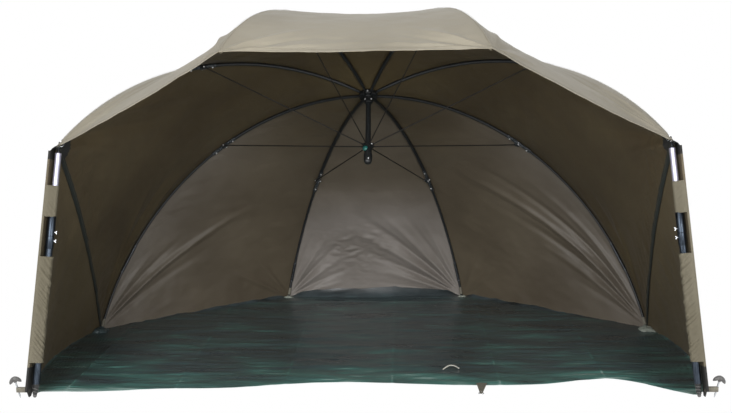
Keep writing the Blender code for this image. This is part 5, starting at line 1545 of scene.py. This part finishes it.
def tree_with(name, sizes):
    """A geometry tree with a named input for each size, and its input node."""
    tree = bpy.data.node_groups.new(name, "GeometryNodeTree")
    face = tree.interface
    face.new_socket("Geometry", in_out="INPUT", socket_type="NodeSocketGeometry")
    for title, value in sizes.items():
        face.new_socket(title, in_out="INPUT", socket_type="NodeSocketFloat").default_value = value
    face.new_socket("Material", in_out="INPUT", socket_type="NodeSocketMaterial")
    face.new_socket("Geometry", in_out="OUTPUT", socket_type="NodeSocketGeometry")
    return tree, add(tree, "NodeGroupInput").outputs


def stitch_tree():
    sizes = {"Pitch": STITCH_PITCH, "Length": STITCH_LENGTH, "Thread radius": THREAD_RADIUS}
    tree, source = tree_with("stitch_run", sizes)
    curve = add(tree, "GeometryNodeMeshToCurve", {"Mesh": source["Geometry"]})
    steps = add(tree, "GeometryNodeResampleCurve", {"Curve": curve.outputs[0], "Length": source["Pitch"]},
                mode="LENGTH")
    thread = add(tree, "GeometryNodeMeshCylinder", {"Vertices": THREAD_SIDES, "Depth": source["Length"],
                                                   "Radius": source["Thread radius"]})
    tangent = add(tree, "GeometryNodeInputTangent")
    turn = add(tree, "FunctionNodeAlignRotationToVector", {"Vector": tangent.outputs[0]}, axis="Z")
    laid = add(tree, "GeometryNodeInstanceOnPoints", {"Points": steps.outputs[0], "Rotation": turn.outputs[0],
                                                      "Instance": thread.outputs["Mesh"]})
    real = add(tree, "GeometryNodeRealizeInstances", {"Geometry": laid.outputs[0]})
    finish = add(tree, "GeometryNodeSetMaterial", {"Geometry": real.outputs[0],
                                                   "Material": source["Material"]})
    add(tree, "NodeGroupOutput", {"Geometry": finish.outputs[0]})
    return tree


def rivet_tree():
    tree, source = tree_with("rivet_heads", {"Radius": RIVET_RADIUS})
    head = add(tree, "GeometryNodeMeshUVSphere", {"Segments": 16, "Rings": 8, "Radius": source["Radius"]})
    spots = add(tree, "GeometryNodeInstanceOnPoints", {"Points": source["Geometry"],
                                                       "Instance": head.outputs["Mesh"]})
    real = add(tree, "GeometryNodeRealizeInstances", {"Geometry": spots.outputs[0]})
    smooth = add(tree, "GeometryNodeSetShadeSmooth", {"Geometry": real.outputs[0]})
    finish = add(tree, "GeometryNodeSetMaterial", {"Geometry": smooth.outputs[0],
                                                   "Material": source["Material"]})
    add(tree, "NodeGroupOutput", {"Geometry": finish.outputs[0]})
    return tree


STITCHES, RIVETS = stitch_tree(), rivet_tree()
print("trees:", [tree.name for tree in (STITCHES, RIVETS)])


def baked(name, verts, edges, tree, values):
    """A mesh of points or lines, run through a node tree and kept as a plain mesh."""
    mesh = bpy.data.meshes.new(name + "_guide")
    mesh.from_pydata([tuple(v) for v in verts], edges, [])
    guide = new_piece(name + "_guide", mesh)
    modifier = guide.modifiers.new("repeat", "NODES")
    modifier.node_group = tree
    sockets = {item.name: item.identifier for item in tree.interface.items_tree
               if item.item_type == "SOCKET" and item.in_out == "INPUT"}
    for title, value in values.items():
        modifier[sockets[title]] = value
    guide.update_tag()
    graph = bpy.context.evaluated_depsgraph_get()
    graph.update()
    result = bpy.data.meshes.new_from_object(guide.evaluated_get(graph))
    bpy.data.objects.remove(guide, do_unlink=True)
    bpy.data.meshes.remove(mesh)
    result.name = name
    return new_piece(name, result)


def run_edges(runs):
    """Vertices and edges of several separate lines."""
    verts, edges = [], []
    for run in runs:
        start = len(verts)
        verts += list(run)
        edges += [(start + i, start + i + 1) for i in range(len(run) - 1)]
    return verts, edges


# %% [markdown]
# The canopy's hem is stitched along its inner edge, inside and out, and each seam over a
# rib has two rows. The rows follow the cloth's own grid, a hair above it.

# %% Stitches along the hems and the rib seams
HEM_STITCH = 0.017
SEAM_STITCH = 0.0055
STITCH_CLEAR = 0.0004
SEAM_TOP_ROWS, SEAM_END_ROWS = 6, 2


def sector_stitches(k):
    """The hem's two rows and the seam's two rows on the cloth of one rib."""
    side, name, points, normals, _, share = sector_grids(k)
    from_hem = (1 - share[:, HALF_GORE]) * CANOPY_LENGTHS[name]
    row = int(np.argmin(np.abs(from_hem - HEM_STITCH)))
    above = normals[row] * (HEM_HALF + STITCH_CLEAR)
    ridge = points[:, HALF_GORE] + normals[:, HALF_GORE] * (SEAM_HALF + STITCH_CLEAR)
    ridge = ridge[SEAM_TOP_ROWS:row - SEAM_END_ROWS]
    across = np.array(rib_across(SIDES[side], name))
    seams = [ridge + across * offset for offset in (-SEAM_STITCH, SEAM_STITCH)]
    verts, edges = run_edges([points[row] + above, points[row] - above] + seams)
    piece = baked(f"canopy_stitches_{name}_{side}", verts, edges, STITCHES, {"Material": SEWING_THREAD})
    dress(piece, f"rib_{name}_{side}")
    gathered(piece)
    return len(piece.data.polygons) // 8


print("stitches:", [sector_stitches(k) for k in range(len(RIB_ORDER))])

# %% [markdown]
# Each bracket is riveted to its rib, and a pin holds the stretcher's eye at its ear. The
# hub and the runner have a few rivets round them. Their places are worked out from the
# ribs and the umbrella's axis, and the rivet tree does the rest.

# %% Rivets on the brackets, the hub and the runner
BRACKET_RIVET, BRACKET_RIVETS_AT = 0.0040, [0.752, 0.806, 0.858]
EAR_DROP, EAR_OUT, EAR_THROUGH = 0.007, 0.0165, 0.0270
# body, rivet radius, and rings of (distance from the axis, height, bearings in degrees)
RIVET_RINGS = {
    "hub": ("umbrella", 0.0044, ((0.0445, -0.004, (-4, 176)), (0.0190, -0.030, (48, -52, 140)))),
    "runner": ("runner", 0.0040, ((0.0262, -0.272, (41, 221)), (0.0185, -0.345, (8, 188)))),
}


def rivets(name, spots, radius, body):
    piece = baked(name, spots, [], RIVETS, {"Radius": radius, "Material": RIVET_NICKEL_PAINTED_HIGHLIGHT})
    dress(piece, body)


def bracket_rivets(side_name, name):
    """Bright rivets: three on the sleeve, and the two ends of the pin through the ear."""
    side = SIDES[side_name]
    across = np.array(rib_across(side, name))
    sleeve = rib_points(side, name, BRACKET_RIVETS_AT, -BRACKET_RADIUS)
    ear = rib_points(side, name, [RIB_UPPER_END], -EAR_DROP)[0] + across * EAR_OUT
    rivets(f"bracket_rivets_{name}_{side_name}", [*sleeve, ear, ear - across * EAR_THROUGH], BRACKET_RIVET,
           f"rib_{name}_{side_name}")


for side_name in SIDES:
    for rib_name in RIB_LENGTHS:
        bracket_rivets(side_name, rib_name)
for name, (body, radius, rings) in RIVET_RINGS.items():
    spots = [UMBRELLA @ Vector((out * sin(radians(a)), -out * cos(radians(a)), height))
             for out, height, bearings in rings for a in bearings]
    rivets(f"{name}_rivets", spots, radius, body)
print("rivets set")

# %% [markdown]
# ## Small soft trim
#
# Each free rib tip sits in a small pocket of webbing, and each rib foot in a tape loop
# that holds the hem down to it. The groundsheet has a webbing tag with a ring to peg it
# at the front, and a pale cord loop to lift it by.

# %% Pockets, foot loops, the tag and the cord
# from and to, past the rib's end, then the radii between, and the cloth
TIP_POCKET = ((-0.034, 0.007), [0.0074, 0.0082, 0.0084, 0.0082, 0.0060], TAB_CLOTH)
FOOT_TAPE = ((-0.050, -0.012), [0.0072, 0.0078, 0.0080, 0.0080, 0.0079], GREY_WEBBING)
POCKET_FLAT = 0.93
TAG_BASE, TAG_TIP = Vector((0.473, POLE_ROW + 0.166, 0.0075)), Vector((0.462, POLE_ROW + 0.042, 0.0030))
TAG_WIDTH, TAG_LENGTH, TAG_AREA, TAG_HALF, TAG_TAPER = 0.044, 0.125, 0.0033, 0.0008, 0.8
TAG_RING, TAG_RING_OUT, TAG_RING_LEVEL, TAG_WIRE = 0.010, 0.002, 0.0034, 0.0014
CORD_START, CORD_RUN = (0.323, POLE_ROW + 0.344, 0.011), (0.069, 0.014)
CORD_ARCH, CORD_RADIUS = 0.016, 0.0026


def rib_pocket(side_name, name):
    """The pocket over a free rib's tip, or the tape round a rib's foot."""
    (start, end), radii, material = FOOT_TAPE if name in ("flank", "rear") else TIP_POCKET
    lengths = RIB_LENGTHS[name] + np.linspace(start, end, 5)
    pocket = along_rib(SIDES[side_name], name, lengths, radii, f"rib_pocket_{name}_{side_name}", material,
                       flat=POCKET_FLAT)
    return dress(pocket, f"rib_{name}_{side_name}")


def front_tag():
    """A triangle of webbing at the front edge, with a steel ring at its tip."""
    rows = [(TAG_BASE.lerp(TAG_TIP, t), TAG_WIDTH * (1 - TAG_TAPER * t)) for t in np.linspace(0, 1, 12)]
    points = np.array([[tuple(middle + Vector(((c - 0.5) * width, 0, 0))) for c in np.linspace(0, 1, 7)]
                       for middle, width in rows])
    normals = np.broadcast_to(UP, points.shape).astype(float)
    tag = cloth_shell("sheet_tag", points, normals, TAG_HALF, points[..., :2], [GREY_WEBBING])
    dress(tag, "root")
    ring = [(TAG_TIP.x + TAG_RING * cos(a), TAG_TIP.y + TAG_RING_OUT + TAG_RING * sin(a), TAG_RING_LEVEL)
            for a in np.linspace(0, 2 * pi, 29)]
    dress(sweep("sheet_tag_ring", ring, TAG_WIRE, BRIGHT_STEEL, sides=10), "root")


for side_name in SIDES:
    for rib_name in RIB_LENGTHS:
        rib_pocket(side_name, rib_name)
front_tag()
arch = [(CORD_START[0] + CORD_RUN[0] * t, CORD_START[1] + CORD_RUN[1] * t,
         CORD_START[2] + CORD_ARCH * sin(pi * t)) for t in np.linspace(0, 1, 21)]
dress(sweep("sheet_cord_loop", arch, CORD_RADIUS, PALE_CORD, sides=12), "root")
print("pockets:", len(SIDES) * len(RIB_LENGTHS))

# %% [markdown]
# At the rib feet the spare sheet is bunched up, and a scrap of pale tape lies behind it.
# Such a crumpled scrap is a small dome of cloth with a noise in its height and outline.

# %% Bunched cloth and tape at the rib feet
SCRAP_HALF, SCRAP_LEVEL, FLAT_TO_LAID = 0.0006, 0.0027, 1.25
BUNCH_SIZE, BUNCH_RISE, BUNCH_IN, BUNCH_FRONT = (0.072, 0.066), 0.022, 0.006, 0.046
STRIP_SIZE, STRIP_RISE, STRIP_FRONT = (0.046, 0.024), 0.009, 0.022


def scrap(name, x0, y0, size, height, material, seed):
    """A small crumpled end of sheet or tape, bunched up on the ground."""
    t = np.linspace(-1, 1, 15)
    x, y = np.meshgrid(t, t, indexing="ij")
    dome = np.clip((1 - x ** 2) * (1 - y ** 2), 0, 1) ** 0.5
    wobble = 1 + 0.25 * clouds(x, y, 0.8, seed, 2)
    rise = dome * height * (0.75 + 0.5 * np.abs(clouds(x, y, 0.5, seed + 5, 2)))
    points = np.stack([x0 + x * size[0] / 2 * wobble, y0 + y * size[1] / 2 * wobble, SCRAP_LEVEL + rise], -1)
    piece = cloth_shell(name, points, grid_normals(points, UP), SCRAP_HALF, points[..., :2], [material])
    dress(piece, "root")


for side_name, side in SIDES.items():
    flank, rear = (Vector(rib_points(side, name, RIB_LENGTHS[name], 0.0)) for name in ("flank", "rear"))
    scrap(f"foot_fold_{side_name}", flank.x - side * BUNCH_IN, flank.y - BUNCH_FRONT, BUNCH_SIZE, BUNCH_RISE,
          SHEET_TARP if side < 0 else PALE_TAPE, 91.0 + side)
    scrap(f"foot_tape_{side_name}", rear.x, rear.y - STRIP_FRONT, STRIP_SIZE, STRIP_RISE, PALE_TAPE,
          95.0 + side)
print("feet dressed")

# %% [markdown]
# ## The release button
#
# A push button in the runner frees the umbrella to fold. Its cap is moulded acetal, wide
# enough for a thumb, so it is turned from one profile on the button's own axis.

# %% A bigger cap for the release button
BUTTON_DOWN, BUTTON_BEARING = 0.298, radians(-24)
CAP_PROFILE = [(0, 0.0372), (0.0050, 0.0367), (0.0092, 0.0350), (0.0120, 0.0324), (0.0128, 0.0300),
               (0.0122, 0.0284), (0.0062, 0.0282), (0.0060, 0.0216), (0.0028, 0.0215), (0.0028, 0.0161),
               (0, 0.0160)]


def button_cap():
    """A domed cap on the button's stem. It stops just short of the housing when pressed."""
    line = (UMBRELLA @ Matrix.Translation((0, 0, -BUTTON_DOWN))
            @ Matrix.Rotation(BUTTON_BEARING - pi / 2, 4, "Z") @ Matrix.Rotation(pi / 2, 4, "Y"))
    cap = lathe("button_cap", CAP_PROFILE, TEAL_PLASTIC, line)
    return dress(cap, "release_button", ["release_button"])


print("made", button_cap().name)

# %% [markdown]
# ## Finish the rest
#
# The frame's own nodes that still show, such as the hub, the runner, the brackets and the
# stretchers, keep their exact shape and only get a material, found by the node's name.

# %% Finish the frame's own metal nodes
NODE_FINISHES = {
    "hub_crown": NYLON, "crown_cap": NYLON, "centre_tube": ENAMEL, "runner": NYLON, "runner_end_cap": NYLON,
    "rib_hinge_ring": BRIGHT_STEEL, "stretcher_hinge_ring": BRIGHT_STEEL, "button_spring": BRIGHT_STEEL,
    "release_button": TEAL_PLASTIC,
}
PREFIX_FINISHES = {
    "pole_lower_tube": GUNMETAL, "pole_upper_tube": SILVER_TUBE, "pole_foot": RUBBER,
    "pole_clamp": PLATED_BLACK,
    "thumbscrew": BRIGHT_STEEL, "peg": GREY_PLASTIC, "stretcher": SPRING_WIRE, "rib": ENAMEL,
}


def finish_for(name):
    """The material of a node, or None where it is to stay as it is."""
    if name.endswith("_bracket"):
        return ZINC_STEEL
    by_prefix = (finish for prefix, finish in PREFIX_FINISHES.items() if name.startswith(prefix))
    return NODE_FINISHES.get(name) or next(by_prefix, None)


done = [(node, finish_for(name)) for name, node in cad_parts.items() if finish_for(name)]
for node, finish in done:
    node.data.materials.clear()
    node.data.materials.append(finish)
print("nodes finished:", len(done))
